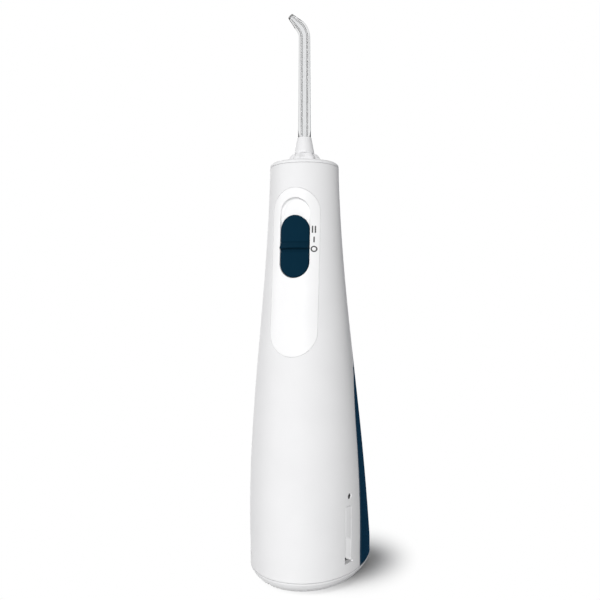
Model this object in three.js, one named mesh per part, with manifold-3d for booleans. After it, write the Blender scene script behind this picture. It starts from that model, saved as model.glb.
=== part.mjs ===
// A slim cordless water flosser: a flared white handle with a clip-on water tank behind it,
// a sliding power switch, a turning knob and a pull-out jet tip.
// Millimetres, +Z up, the front faces -Y. Z = 0 is the surface that it stands on.
import * as THREE from "three";
import { mergeVertices } from "three/addons/utils/BufferGeometryUtils.js";
import Module from "manifold-3d";

const wasm = await Module();
wasm.setup();

// Clearances
const SEAT_GAP = 0.3;
const RUN_GAP = 0.35;
const FIT_GAP = 0.1;
const CUT_OVER = 2;

// Body form, measured from the jet tip's axis
const BODY = {
  shoulder: 209.9,
  shoulderInset: 1.6,
  shoulderRise: 1.6,
  neckRadius: 17.85,
  neckDrop: 1.9,
  footLevel: 14,
  front: 29.5,
  back: 39.2,
  side: 30.8,
  widestBehindAxis: 15,
  wall: 2.2,
};
// Height of one ring of the body's surface, as a share of the shoulder's height
const RING_SHARE = 0.115;
// How the flare is shared out between a cosine and a straight taper, for depth and for width
const FLARE_SHARES = { depthPower: 1.2, depthTaper: 0.2, widthPower: 1, widthTaper: 0.38, shiftPower: 4 };
// Superellipse powers of the front and back halves: the extra goes with the flare
const ROUND_SHARES = { round: 2, frontExtra: 0.1, backExtra: 0.8 };
const BODY_SIDES = 40;

// Base
const BASE = {
  height: 5.25,
  edgeInset: 4.67,
  rim: 7,
  floor: 1.8,
  collar: 2,
  notchX: -11.6,
  notchWidth: 2,
  notchHeight: 1.2,
  notchDepth: 2.6,
};
// The rounded edge: height shares of the base, inset shares of the edge inset
const BASE_EDGE_SHARES = [
  [0, 1],
  [0.19, 0.64],
  [0.5, 0.3],
  [1, 0],
];

// The line where handle and tank meet, seen from the side
const BAY = { y: 0.7, bend: 80, wall: 2, seamY: 6, steps: 14 };

// Cells and their tube
const CELL = { radius: 7.25, height: 50.5, nubRadius: 2.75, nubHeight: 1, base: 8.2, ringRadius: 8.6 };
const TUBE = { y: -4, inner: 16.4, wall: 1.3, cap: 1.6, contact: 0.5, contactGap: 0.3 };
const CELL_COUNT = 3;

// Battery door in the base
const DOOR = {
  radius: 17,
  plate: 2.2,
  lift: 0.5,
  spigotRadius: 15.4,
  spigotTop: 4.4,
  barrel: 1.5,
  barrelHalf: 7.5,
  pin: 0.6,
  pinHalf: 9.5,
  barrelReach: 1.9,
  barrelZ: 1.6,
  slotWidth: 2.2,
  slotLength: 16,
  slotDepth: 1,
  sealRadius: 0.6,
  contact: 0.5,
};
const SPRING = { low: 4.2, high: 2.4, wire: 1 };

// Tank
const TANK = { wall: 1.8, recessGap: 0.6 };
const FILL = {
  width: 24,
  height: 21,
  middleRise: 32.4,
  corner: 5,
  cover: 1.6,
  frame: 4,
  frameRim: 3,
  lip: 3,
  barrel: 1.2,
  barrelHalf: 7.5,
  pin: 0.5,
  pinHalf: 9.6,
  seal: 1,
  sealDepth: 0.9,
};
const PORT = {
  pipe: 2.6,
  bore: 1.2,
  reach: 5,
  flange: 4.6,
  flangeDepth: 1.2,
  socket: 5.2,
  sealRadius: 0.6,
};
const INTAKE = { radius: 2, bore: 1.1, backY: 24, bend: 5, filterRadius: 3.4, filterHeight: 7, floorGap: 1 };

// Control panel and slider, on the leaning front
const PANEL = { width: 24, height: 83.5, drop: 14.3, depth: 1.2, tubWall: 1 };
const SLIDER = {
  width: 14.7,
  length: 31.2,
  drop: 13.5,
  travel: 8.4,
  thickness: 1.6,
  proud: 0.2,
  floorGap: 0.4,
  edgeGap: 0.3,
  ribHeight: 4.6,
  ribProud: 1.5,
  magnet: 5,
  magnetDepth: 0.8,
};

// Release tabs and vents in the sides
const TAB = {
  frontY: -14,
  width: 4.8,
  low: 14.3,
  high: 39,
  windowLow: 11,
  inset: 0.3,
  rampTop: 25,
  rampDepth: 1.1,
  side: 0.3,
};
const VENT = { y: -10.1, z: 43.9, radius: 1 };

// Drive train: everything stands on the motor mount above the cell tube
const DRIVE = { y: -10.5, mount: 2, plate: 2, edgeGap: 0.3 };
const MOTOR = {
  x: -5.4,
  width: 20,
  depth: 15.4,
  height: 27,
  bossRadius: 3,
  bossHeight: 1,
  shaft: 1,
  shaftLow: 9,
};
const GEARS = {
  module: 0.6,
  pinionTeeth: 10,
  gearTeeth: 26,
  meshSlack: 0.15,
  addendumShare: 0.85,
  dedendumShare: 1.2,
  toothShare: 0.438,
  tipShare: 0.5,
  pinionHeight: 4,
  gearHeight: 3.4,
  axle: 1,
  crank: 1.6,
  crankPin: 0.8,
  crankHeight: 2,
};
const PUMP = {
  end: -16.5,
  width: 9,
  length: 7,
  above: 5.6,
  bore: 3,
  plunger: 2.9,
  plungerLength: 2.4,
  rod: 2,
  rodWidth: 3,
};
const VALVE = { inletX: -11.4, inletY: -8.3, outletX: -14.4, outletY: -12.6, radius: 1.3, height: 3 };
const HOSE = { radius: 1.8, bore: 1.2, sides: 8 };

// Control board behind the panel
const BOARD = { width: 13, height: 37.5, drop: 9.7, thickness: 1.2 };
const SENSOR = { width: 3, depth: 1.2, lowRise: 10, highRise: 22 };

// Screws that hold the bay wall to the front shell
const SCREW = {
  wallGap: 0.6,
  lowDrop: 12.4,
  highRise: 16.9,
  radius: 1.1,
  length: 8,
  head: 2.2,
  headDepth: 1.2,
  post: 2.2,
};

// Top cap, knob and jet tip
const CAP = { plate: 2.4, spigot: 1.6, hole: 6 };
const KNOB = {
  low: 7.2,
  high: 6.1,
  height: 5.2,
  bore: 4,
  skirt: 5.6,
  skirtDrop: 5.5,
  clip: 6.6,
  clipHeight: 1.6,
  lobeShare: 0.13,
  lobes: 6,
  turn: 14.3,
};
const SOCKET = { radius: 5.2, bore: 3.5, drop: 23.1, spigot: 2.2, spigotHeight: 6.4, flangeHeight: 1.6 };
const TIP = {
  plug: 3.2,
  plugGap: 2,
  sealRise: 4,
  seal: 0.6,
  collarGap: 0.4,
  collarLow: 5.1,
  collarHigh: 3.6,
  collarHeight: 8.6,
  tubeLow: 3.2,
  tubeHigh: 2.8,
  tubeEnd: 1.5,
  stem: 1.9,
  boreLow: 1.15,
  boreEnd: 0.45,
  elbowRise: 55.9,
  elbowRadius: 6,
  bendSteps: 4,
  reach: 10.5,
  turnDown: 60,
  heading: 37,
};

// Levels: the power unit stacks up from the cells, and what the thumb and the tip need hangs from the top
const bodyTop = BODY.shoulder + BODY.shoulderRise;
const neckLevel = BODY.shoulder - BODY.neckDrop;
const shellLow = BASE.height + SEAT_GAP;
const shellHigh = BODY.shoulder - SEAT_GAP;
const mountLow = tubeTop() + SEAT_GAP;
const portZ = mountLow + DRIVE.mount + SEAT_GAP + PORT.socket;
const gearX = MOTOR.x + (GEARS.module * (GEARS.pinionTeeth + GEARS.gearTeeth)) / 2 + GEARS.meshSlack;
const gearTip = (GEARS.module * GEARS.gearTeeth) / 2 + GEARS.addendumShare * GEARS.module;
const hoseY = bayFrontY() - SEAT_GAP * 2 - HOSE.radius;
const portX = gearX + Math.sqrt((gearTip + RUN_GAP + HOSE.radius) ** 2 - (hoseY - DRIVE.y) ** 2) + FIT_GAP;
const bayStraightTop = portZ + PORT.flange + SEAT_GAP;
const fillZ = bayStraightTop + FILL.middleRise;
const panelHigh = bodyTop - PANEL.drop;
const panelLow = panelHigh - PANEL.height;
const sliderHigh = panelHigh - SLIDER.drop;
const sliderLow = sliderHigh - SLIDER.length;
const boardHigh = panelHigh - BOARD.drop;
const boardLow = boardHigh - BOARD.height;
const socketLow = bodyTop - SOCKET.drop;
const socketSpigotLow = socketLow - SOCKET.spigotHeight;
const plugLow = socketLow + SOCKET.flangeHeight + TIP.plugGap;
const sealLevel = plugLow + TIP.sealRise;
const skirtLow = bodyTop - KNOB.skirtDrop;
const knobLow = bodyTop + SEAT_GAP;
const knobHigh = knobLow + KNOB.height;
const collarTop = knobHigh + TIP.collarGap + TIP.collarHeight;
const elbowZ = collarTop + TIP.elbowRise;

// Finishes
function finish(color, roughness, metalness = 0, opacity = 1) {
  return new THREE.MeshStandardMaterial({ color, roughness, metalness, opacity, transparent: opacity < 1 });
}

const FINISH = {
  shell: finish(0xe9eaec, 0.42),
  panel: finish(0xf7f7f8, 0.2),
  navy: finish(0x0e2a3d, 0.35),
  clear: finish(0xf0f3f5, 0.08, 0, 0.4),
  inner: finish(0xc9ccd0, 0.6),
  seal: finish(0x202224, 0.75),
  steel: finish(0xb9bcc0, 0.3, 1),
  brass: finish(0xc7a04a, 0.35, 1),
  cell: finish(0x3d4247, 0.4, 0.2),
  board: finish(0x1c5a3a, 0.5),
  hose: finish(0xd8dcde, 0.5),
};

// Solids
function solid(geometry) {
  const bare = geometry.index ? geometry.toNonIndexed() : geometry.clone();
  bare.deleteAttribute("normal");
  bare.deleteAttribute("uv");
  const merged = mergeVertices(bare, 1e-4);
  return new wasm.Manifold(
    new wasm.Mesh({
      numProp: 3,
      vertProperties: merged.attributes.position.array,
      triVerts: new Uint32Array(merged.index.array),
    }),
  );
}

function geometryOf(manifold) {
  const made = manifold.getMesh();
  const geometry = new THREE.BufferGeometry();
  geometry.setAttribute("position", new THREE.BufferAttribute(new Float32Array(made.vertProperties), 3));
  geometry.setIndex(new THREE.BufferAttribute(new Uint32Array(made.triVerts), 1));
  geometry.computeVertexNormals();
  return geometry;
}

function piece(name, manifold, material) {
  const mesh = new THREE.Mesh(geometryOf(manifold), material);
  mesh.name = name;
  return mesh;
}

function box(x0, x1, y0, y1, z0, z1) {
  const geometry = new THREE.BoxGeometry(x1 - x0, y1 - y0, z1 - z0);
  return solid(geometry.translate((x0 + x1) / 2, (y0 + y1) / 2, (z0 + z1) / 2));
}

function rodZ(radius, z0, z1, x = 0, y = 0, sides = 24) {
  const geometry = new THREE.CylinderGeometry(radius, radius, z1 - z0, sides);
  return solid(geometry.rotateX(Math.PI / 2).translate(x, y, (z0 + z1) / 2));
}

function rodX(radius, x0, x1, y, z, sides = 16) {
  const geometry = new THREE.CylinderGeometry(radius, radius, x1 - x0, sides);
  return solid(geometry.rotateZ(Math.PI / 2).translate((x0 + x1) / 2, y, z));
}

function rodY(radius, y0, y1, x, z, sides = 16) {
  const geometry = new THREE.CylinderGeometry(radius, radius, y1 - y0, sides);
  return solid(geometry.translate(x, (y0 + y1) / 2, z));
}

// A profile of [radius, height] points, low to high, turned about a vertical axis
function turned(profile, x = 0, y = 0, sides = 32) {
  const points = profile.map(([r, z]) => new THREE.Vector2(r, z));
  return solid(new THREE.LatheGeometry(points, sides).rotateX(Math.PI / 2).translate(x, y, 0));
}

function ringZ(radius, thickness, z, x = 0, y = 0) {
  return solid(new THREE.TorusGeometry(radius, thickness, 6, 24).translate(x, y, z));
}

function ringY(radius, thickness, x, y, z) {
  return solid(new THREE.TorusGeometry(radius, thickness, 6, 20).rotateX(Math.PI / 2).translate(x, y, z));
}

// An outline in (y, z) carried along X
function prismX(points, x0, x1) {
  const shape = new THREE.Shape(points.map(([y, z]) => new THREE.Vector2(y, z)));
  const geometry = new THREE.ExtrudeGeometry(shape, { depth: x1 - x0, bevelEnabled: false });
  const turn = new THREE.Matrix4().makeBasis(
    new THREE.Vector3(0, 1, 0),
    new THREE.Vector3(0, 0, 1),
    new THREE.Vector3(1, 0, 0),
  );
  return solid(geometry.applyMatrix4(turn).translate(x0, 0, 0));
}

// A rounded rectangle in (x, z) carried along Y
function plaqueY(width, low, high, corner, y0, y1, steps = 5) {
  const half = width / 2;
  const shape = new THREE.Shape();
  shape.absarc(half - corner, high - corner, corner, 0, Math.PI / 2);
  shape.absarc(corner - half, high - corner, corner, Math.PI / 2, Math.PI);
  shape.absarc(corner - half, low + corner, corner, Math.PI, 1.5 * Math.PI);
  shape.absarc(half - corner, low + corner, corner, 1.5 * Math.PI, 2 * Math.PI);
  const options = { depth: y1 - y0, bevelEnabled: false, curveSegments: steps };
  const geometry = new THREE.ExtrudeGeometry(shape, options);
  return solid(geometry.rotateX(Math.PI / 2).translate(0, y1, 0));
}

// A round hose along a curve, with its bore open at both ends
function hose(points, outer, bore, steps) {
  const path = new THREE.CatmullRomCurve3(points.map((p) => new THREE.Vector3(...p)), false, "centripetal");
  const section = new THREE.Shape();
  section.absarc(0, 0, outer, 0, 2 * Math.PI);
  const hole = new THREE.Path();
  hole.absarc(0, 0, bore, 0, 2 * Math.PI);
  section.holes.push(hole);
  const options = { steps, bevelEnabled: false, extrudePath: path, curveSegments: HOSE.sides / 2 };
  return solid(new THREE.ExtrudeGeometry(section, options));
}

// Body form
function flare(z, power, taper) {
  const rise = (z - BODY.footLevel) / (neckLevel - BODY.footLevel);
  const u = Math.min(Math.max(rise, 0), 1);
  return ((1 - taper) * (1 + Math.cos(Math.PI * u ** power))) / 2 + taper * (1 - u);
}

function section(z) {
  const depth = flare(z, FLARE_SHARES.depthPower, FLARE_SHARES.depthTaper);
  const width = flare(z, FLARE_SHARES.widthPower, FLARE_SHARES.widthTaper);
  const rise = (z - BODY.footLevel) / (neckLevel - BODY.footLevel);
  const left = 1 - Math.min(Math.max(rise, 0), 1);
  return {
    side: BODY.neckRadius + (BODY.side - BODY.neckRadius) * width,
    front: BODY.neckRadius + (BODY.front - BODY.neckRadius) * depth,
    back: BODY.neckRadius + (BODY.back - BODY.neckRadius) * depth,
    middle: BODY.widestBehindAxis * left ** FLARE_SHARES.shiftPower,
    frontPower: 2 / (ROUND_SHARES.round + ROUND_SHARES.frontExtra * depth),
    backPower: 2 / (ROUND_SHARES.round + ROUND_SHARES.backExtra * depth),
  };
}

// The body's surface moved inwards by an inset at each level, closed flat at both ends
function form(levels) {
  const rings = levels.map((v) => ({ ...v, share: 1 }));
  const rows = [{ ...levels[0], share: 0 }, ...rings, { ...levels.at(-1), share: 0 }];
  const profile = rows.map((v) => new THREE.Vector2(v.share, v.z));
  const geometry = new THREE.LatheGeometry(profile, BODY_SIDES).rotateX(Math.PI / 2);
  const place = geometry.attributes.position;
  for (let i = 0; i < place.count; i += 1) {
    const row = rows[i % rows.length];
    const angle = Math.atan2(place.getY(i), place.getX(i));
    const at = section(row.z);
    const ahead = Math.sin(angle) < 0;
    const power = ahead ? at.frontPower : at.backPower;
    const reach = ahead ? at.front + at.middle : at.back - at.middle;
    const across = Math.sign(Math.cos(angle)) * Math.abs(Math.cos(angle)) ** power;
    const along = Math.sign(Math.sin(angle)) * Math.abs(Math.sin(angle)) ** power;
    const x = row.share * (at.side - row.inset) * across;
    const y = at.middle + row.share * (reach - row.inset) * along;
    place.setXYZ(i, x, y, row.z);
  }
  return solid(geometry);
}

function levelsBetween(low, high, inset) {
  const count = Math.max(2, Math.ceil((high - low) / (BODY.shoulder * RING_SHARE)));
  return Array.from({ length: count + 1 }, (_, i) => ({ z: low + ((high - low) * i) / count, inset }));
}

function core(low, high, inset) {
  return form(levelsBetween(low, high, inset));
}

// The shell's own height of body, from one inset to a deeper one
function skinBetween(outerInset, innerInset) {
  const inner = core(shellLow - CUT_OVER, shellHigh + CUT_OVER, innerInset);
  return core(shellLow, shellHigh, outerInset).subtract(inner);
}

function frontAt(z) {
  return -section(z).front;
}

// The bay line moved back by an offset, from low to the seam or to the body's back
function bayLine(offset, low, farY) {
  const radius = BAY.bend - offset;
  const centreY = BAY.y + BAY.bend;
  const end = Math.acos((centreY - farY) / radius);
  const points = [[centreY - radius, low]];
  for (let i = 0; i <= BAY.steps; i += 1) {
    const angle = (end * i) / BAY.steps;
    points.push([centreY - radius * Math.cos(angle), bayStraightTop + radius * Math.sin(angle)]);
  }
  return points;
}

const wideX = BODY.side + CUT_OVER;
const farBack = BODY.back + CUT_OVER;
const farFront = -BODY.front - CUT_OVER;

// All that lies behind the bay line
function behindBay(offset, low) {
  const line = bayLine(offset, low, farBack);
  return prismX([...line, [farBack, low]], -wideX, wideX);
}

// Front shell
function frontShell() {
  const bayEdge = bayLine(-SEAT_GAP / 2, shellLow - CUT_OVER, BAY.seamY - SEAT_GAP / 2);
  const high = bodyTop + CUT_OVER;
  const ahead = [
    [BAY.seamY - SEAT_GAP / 2, high],
    [farFront, high],
    [farFront, shellLow - CUT_OVER],
  ];
  let shell = skinBetween(0, BODY.wall);
  for (const [x, z] of screwPlaces()) {
    const post = rodY(SCREW.post, farFront, bayFrontY(), x, z, 12);
    const room = core(shellLow, shellHigh, BODY.wall / 2).subtract(tubeRoom());
    shell = shell.add(post.intersect(room));
    shell = shell.subtract(rodY(SCREW.radius + FIT_GAP, bayFrontY() - SCREW.length, 0, x, z, 12));
  }
  shell = shell.intersect(prismX([...bayEdge, ...ahead], -wideX, wideX));
  const bed = core(shellLow, shellHigh, PANEL.depth + SEAT_GAP);
  shell = shell.subtract(panelPlaque(SEAT_GAP).subtract(bed));
  shell = shell.subtract(recess(PANEL.tubWall + SEAT_GAP, farFront, 0));
  for (const side of [-1, 1]) {
    shell = shell.subtract(tabWindow(side, 0, TAB.windowLow, TAB.high + TAB.side));
    shell = shell.subtract(sideRod(side, VENT.radius, VENT.y, VENT.z));
  }
  return piece("front_shell", shell, FINISH.shell);
}

function bayFrontY() {
  return BAY.y - SEAT_GAP / 2 - BAY.wall - SEAT_GAP;
}

function screwPlaces() {
  const levels = [tubeTop() - SCREW.lowDrop, screwHighZ()];
  return levels.flatMap((z) => [[-screwX(z), z], [screwX(z), z]]);
}

function screwHighZ() {
  return bayStraightTop + SCREW.highRise;
}

// The posts stand beside the shell's wall
function screwX(z) {
  return section(z).side - BODY.wall - SCREW.post - SCREW.wallGap;
}

function sideRod(side, radius, y, z) {
  const inner = BODY.neckRadius;
  return side > 0 ? rodX(radius, inner, wideX, y, z, 12) : rodX(radius, -wideX, -inner, y, z, 12);
}

function tabWindow(side, gap, low, high) {
  const inner = side * BODY.neckRadius;
  const outer = side * wideX;
  const y0 = TAB.frontY + gap;
  return box(Math.min(inner, outer), Math.max(inner, outer), y0, TAB.frontY + TAB.width - gap, low, high);
}

// Rear shell: the bay wall, and the upper back above the tank
function rearShell() {
  const outerEdge = behindBay(-SEAT_GAP / 2, shellLow - CUT_OVER);
  const innerEdge = behindBay(-SEAT_GAP / 2 - BAY.wall, shellLow - CUT_OVER);
  const slab = innerEdge.subtract(outerEdge);
  const inside = core(shellLow, shellHigh, BODY.wall + SEAT_GAP);
  const behindSeam = box(-wideX, wideX, BAY.seamY + SEAT_GAP / 2, farBack, shellLow, bodyTop);
  const skin = skinBetween(0, BODY.wall);
  const upper = skin.intersect(behindSeam).subtract(outerEdge);
  const backSlab = slab.intersect(core(shellLow, shellHigh, BODY.wall / 2)).intersect(behindSeam);
  let shell = slab.intersect(inside).add(upper).add(backSlab);
  shell = shell.subtract(tubeRoom());
  shell = shell.subtract(rodY(PORT.socket + SEAT_GAP, -BAY.wall * 2, BAY.wall, portX, portZ, 24));
  for (const [x, z] of screwPlaces()) {
    shell = shell.subtract(rodY(SCREW.radius + FIT_GAP, -BAY.wall * 2, BAY.wall, x, z, 12));
    shell = shell.subtract(rodY(SCREW.head + FIT_GAP, screwHeadY(), BAY.wall, x, z, 12));
  }
  return piece("rear_shell", shell, FINISH.shell);
}

function screwHeadY() {
  return BAY.y - SEAT_GAP / 2 - SCREW.headDepth - FIT_GAP;
}

function caseScrew(index, x, z) {
  const start = screwHeadY() + FIT_GAP / 2;
  const head = rodY(SCREW.head, start, start + SCREW.headDepth, x, z, 12);
  const shank = rodY(SCREW.radius, start - SCREW.length, start, x, z, 12);
  return piece("case_screw_" + index, head.add(shank), FINISH.steel);
}

// Base
function basePlate() {
  const edge = BASE_EDGE_SHARES.map(([up, inward]) => {
    return { z: up * BASE.height, inset: inward * BASE.edgeInset };
  });
  let base = form(edge);
  const hollow = core(BASE.floor, BASE.height + CUT_OVER, BASE.rim);
  const hole = DOOR.radius + RUN_GAP;
  const collar = rodZ(hole + BASE.collar, 0, BASE.height * 2, 0, TUBE.y, 48);
  base = base.subtract(hollow.subtract(collar));
  base = base.subtract(rodZ(hole, -CUT_OVER, BASE.height * 2, 0, TUBE.y, 48));
  const hinge = DOOR.barrel + RUN_GAP;
  const half = DOOR.barrelHalf + RUN_GAP;
  base = base.subtract(box(-half, half, TUBE.y, hingeY() + hinge, -CUT_OVER, DOOR.barrelZ + hinge));
  base = base.add(hingeEars());
  const pinHalf = DOOR.pinHalf + FIT_GAP;
  base = base.subtract(rodX(DOOR.pin + FIT_GAP, -pinHalf, pinHalf, hingeY(), DOOR.barrelZ));
  const notchFront = box(
    BASE.notchX - BASE.notchWidth / 2,
    BASE.notchX + BASE.notchWidth / 2,
    farFront,
    -BODY.front + BASE.edgeInset + BASE.notchDepth,
    -CUT_OVER,
    BASE.notchHeight,
  );
  return piece("base_plate", base.subtract(notchFront), FINISH.shell);
}

function hingeY() {
  return TUBE.y + DOOR.radius + DOOR.barrelReach;
}

// Two blocks beside the door's barrel, which the hinge pin runs into
function hingeEars() {
  const inner = DOOR.barrelHalf + RUN_GAP;
  const outer = DOOR.pinHalf + BASE.collar;
  const reach = DOOR.barrel + RUN_GAP;
  const top = DOOR.barrelZ + DOOR.barrel + SEAT_GAP;
  const left = box(-outer, -inner, hingeY() - reach / 2, hingeY() + reach, BASE.floor / 2, top);
  const right = box(inner, outer, hingeY() - reach / 2, hingeY() + reach, BASE.floor / 2, top);
  return left.add(right).subtract(rodZ(DOOR.radius + RUN_GAP, 0, BASE.height, 0, TUBE.y, 48));
}

function doorHingePin() {
  const pin = rodX(DOOR.pin, -DOOR.pinHalf, DOOR.pinHalf, hingeY(), DOOR.barrelZ, 12);
  return piece("door_hinge_pin", pin, FINISH.steel);
}

// Battery door with its coin slot, spigot and hinge barrel
function batteryDoor() {
  const plateTop = DOOR.lift + DOOR.plate;
  let door = turned(
    [
      [0, DOOR.lift],
      [DOOR.radius, DOOR.lift],
      [DOOR.radius, plateTop],
      [DOOR.spigotRadius - DOOR.sealRadius, plateTop],
      [DOOR.spigotRadius - DOOR.sealRadius, DOOR.spigotTop],
      [0, DOOR.spigotTop],
    ],
    0,
    TUBE.y,
    48,
  );
  const half = DOOR.barrelHalf;
  const barrel = rodX(DOOR.barrel, -half, half, hingeY(), DOOR.barrelZ);
  const leaf = box(-half, half, TUBE.y + DOOR.radius - DOOR.plate, hingeY(), DOOR.lift + FIT_GAP, plateTop);
  door = door.add(leaf).add(barrel);
  door = door.subtract(rodX(DOOR.pin + FIT_GAP, -half - CUT_OVER, half + CUT_OVER, hingeY(), DOOR.barrelZ));
  const slot = DOOR.slotLength / 2;
  const slotY = TUBE.y + DOOR.slotWidth / 2;
  const coinSlot = box(-slot, slot, slotY - DOOR.slotWidth, slotY, -CUT_OVER, DOOR.lift + DOOR.slotDepth);
  return piece("battery_door", door.subtract(coinSlot), FINISH.shell);
}

function doorSeal() {
  const z = DOOR.lift + DOOR.plate + DOOR.sealRadius + FIT_GAP;
  const radius = DOOR.spigotRadius + FIT_GAP * 2;
  return piece("door_seal", ringZ(radius, DOOR.sealRadius, z, 0, TUBE.y), FINISH.seal);
}

function doorContact() {
  const low = DOOR.spigotTop + FIT_GAP;
  const radius = CELL.ringRadius + SPRING.low;
  return piece("door_contact", rodZ(radius, low, low + DOOR.contact, 0, TUBE.y, 32), FINISH.steel);
}

function cellPlace(index) {
  const angle = -Math.PI / 2 + (2 * Math.PI * index) / CELL_COUNT;
  return [CELL.ringRadius * Math.cos(angle), TUBE.y + CELL.ringRadius * Math.sin(angle)];
}

// A conical contact spring, shown as its hollow envelope
function cellSpring(index) {
  const [x, y] = cellPlace(index);
  const low = DOOR.spigotTop + FIT_GAP * 2 + DOOR.contact;
  const high = CELL.base - SEAT_GAP;
  const profile = [
    [SPRING.low - SPRING.wire, low],
    [SPRING.low, low],
    [SPRING.high, high],
    [SPRING.high - SPRING.wire, high],
    [SPRING.low - SPRING.wire, low],
  ];
  return piece("cell_spring_" + (index + 1), turned(profile, x, y, 16), FINISH.steel);
}

// Cells in their tube
function tubeOuter() {
  return TUBE.inner + TUBE.wall;
}

function tubeRoom() {
  return rodZ(tubeOuter() + SEAT_GAP, 0, tubeTop() + SEAT_GAP, 0, TUBE.y, 48);
}

function tubeTop() {
  const cellTop = CELL.base + CELL.height + CELL.nubHeight;
  return cellTop + TUBE.contactGap + TUBE.contact + TUBE.contactGap + TUBE.cap;
}

function dryCell(index) {
  const [x, y] = cellPlace(index);
  const top = CELL.base + CELL.height;
  const can = rodZ(CELL.radius, CELL.base, top, x, y, 24);
  const nub = rodZ(CELL.nubRadius, top - CELL.nubHeight, top + CELL.nubHeight, x, y, 12);
  return piece("dry_cell_" + (index + 1), can.add(nub), FINISH.cell);
}

function cellTube() {
  const shell = rodZ(tubeOuter(), shellLow, tubeTop(), 0, TUBE.y, 48);
  const hollow = rodZ(TUBE.inner, 0, tubeTop() - TUBE.cap, 0, TUBE.y, 48);
  return piece("cell_tube", shell.subtract(hollow), FINISH.inner);
}

function topContact() {
  const low = CELL.base + CELL.height + CELL.nubHeight + TUBE.contactGap;
  const radius = TUBE.inner - TUBE.contactGap;
  return piece("top_contact", rodZ(radius, low, low + TUBE.contact, 0, TUBE.y, 32), FINISH.brass);
}

// Tank: a hollow shell behind the bay line, hollowed in front for the cell tube
function tankSolid(inset, low) {
  const recessRadius = tubeOuter() + TANK.recessGap + inset;
  const recessTop = tubeTop() + TANK.recessGap + inset;
  const behind = behindBay(SEAT_GAP / 2 + inset, low);
  const bulk = core(low, bayStraightTop + BAY.bend, inset).intersect(behind);
  return bulk.subtract(rodZ(recessRadius, 0, recessTop, 0, TUBE.y, 48));
}

function tank() {
  const outer = tankSolid(0, shellLow);
  let shell = outer.subtract(tankSolid(TANK.wall, shellLow + TANK.wall));
  const frame = fillPlaque(FILL.frameRim, 0, farBack);
  shell = shell.add(frame.intersect(outer).subtract(core(shellLow, bodyTop, FILL.frame)));
  const seat = core(shellLow, bodyTop, FILL.cover + SEAT_GAP);
  shell = shell.subtract(fillPlaque(SEAT_GAP, 0, farBack).subtract(seat));
  shell = shell.subtract(fillPlaque(-FILL.lip, section(fillZ).back - FILL.frame * 3, farBack));
  const [hy, hz] = fillHinge();
  const half = FILL.barrelHalf + RUN_GAP;
  shell = shell.subtract(rodX(FILL.barrel + RUN_GAP, -half, half, hy, hz));
  const pinHalf = FILL.pinHalf + FIT_GAP;
  shell = shell.subtract(rodX(FILL.pin + FIT_GAP, -pinHalf, pinHalf, hy, hz, 12));
  shell = shell.subtract(rodY(PORT.pipe + FIT_GAP, -PORT.reach, PORT.reach, portX, portZ, 24));
  return piece("tank", shell, FINISH.navy);
}

function fillPlaque(grow, y0, y1) {
  const low = fillZ - FILL.height / 2 - grow;
  const high = fillZ + FILL.height / 2 + grow;
  return plaqueY(FILL.width + 2 * grow, low, high, FILL.corner + grow, y0, y1);
}

function fillHinge() {
  const z = fillZ + FILL.height / 2 - FILL.barrel;
  return [section(z).back - FILL.barrel - FIT_GAP, z];
}

function fillDoor() {
  const skin = core(shellLow, bodyTop, 0).subtract(core(shellLow, bodyTop, FILL.cover));
  const [hy, hz] = fillHinge();
  const below = box(-wideX, wideX, 0, farBack, 0, hz);
  const half = FILL.barrelHalf;
  let door = skin.intersect(fillPlaque(0, 0, farBack)).intersect(below);
  door = door.add(rodX(FILL.barrel, -half, half, hy, hz));
  door = door.subtract(rodX(FILL.pin + FIT_GAP, -wideX, wideX, hy, hz, 12));
  return piece("fill_door", door, FINISH.navy);
}

// A soft plug ring on the inside of the fill door
function fillSeal() {
  const grow = -FILL.lip - SEAT_GAP;
  const depth = FILL.cover + FIT_GAP;
  const inner = core(shellLow, bodyTop, depth + FILL.sealDepth + FILL.cover);
  const band = core(shellLow, bodyTop, depth).subtract(inner);
  const ring = fillPlaque(grow, 0, farBack).subtract(fillPlaque(grow - FILL.seal, 0, farBack));
  return piece("fill_seal", band.intersect(ring), FINISH.seal);
}

function fillPin() {
  const [hy, hz] = fillHinge();
  return piece("fill_door_pin", rodX(FILL.pin, -FILL.pinHalf, FILL.pinHalf, hy, hz, 8), FINISH.steel);
}

// The tank's outlet pipe, which plugs into a socket in the bay wall
function outletPipe() {
  const dock = BAY.y + SEAT_GAP / 2;
  const inside = dock + TANK.wall + FIT_GAP;
  let pipe = rodY(PORT.pipe, dock - PORT.reach, inside + PORT.flangeDepth, portX, portZ, 16);
  pipe = pipe.add(rodY(PORT.flange, inside, inside + PORT.flangeDepth, portX, portZ, 16));
  pipe = pipe.subtract(rodY(PORT.bore, -wideX, wideX, portX, portZ, 8));
  return piece("outlet_pipe", pipe, FINISH.inner);
}

function portSocket() {
  const back = BAY.y - SEAT_GAP / 2;
  const front = back - PORT.reach - BAY.wall;
  let socket = rodY(PORT.socket, front, back, portX, portZ, 24);
  socket = socket.subtract(rodY(PORT.pipe + RUN_GAP, front + BAY.wall, back + CUT_OVER, portX, portZ, 24));
  const groove = PORT.pipe + RUN_GAP + PORT.sealRadius * 2;
  const grooveFront = sealY() - PORT.sealRadius - FIT_GAP;
  socket = socket.subtract(rodY(groove, grooveFront, back + CUT_OVER, portX, portZ, 24));
  socket = socket.subtract(rodY(PORT.bore, front - CUT_OVER, back, portX, portZ, 8));
  return piece("port_socket", socket, FINISH.inner);
}

function sealY() {
  return BAY.y - SEAT_GAP / 2 - PORT.sealRadius - FIT_GAP;
}

function portSeal() {
  const radius = PORT.pipe + PORT.sealRadius + FIT_GAP * 2;
  return piece("port_seal", ringY(radius, PORT.sealRadius, portX, sealY(), portZ), FINISH.seal);
}

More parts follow.
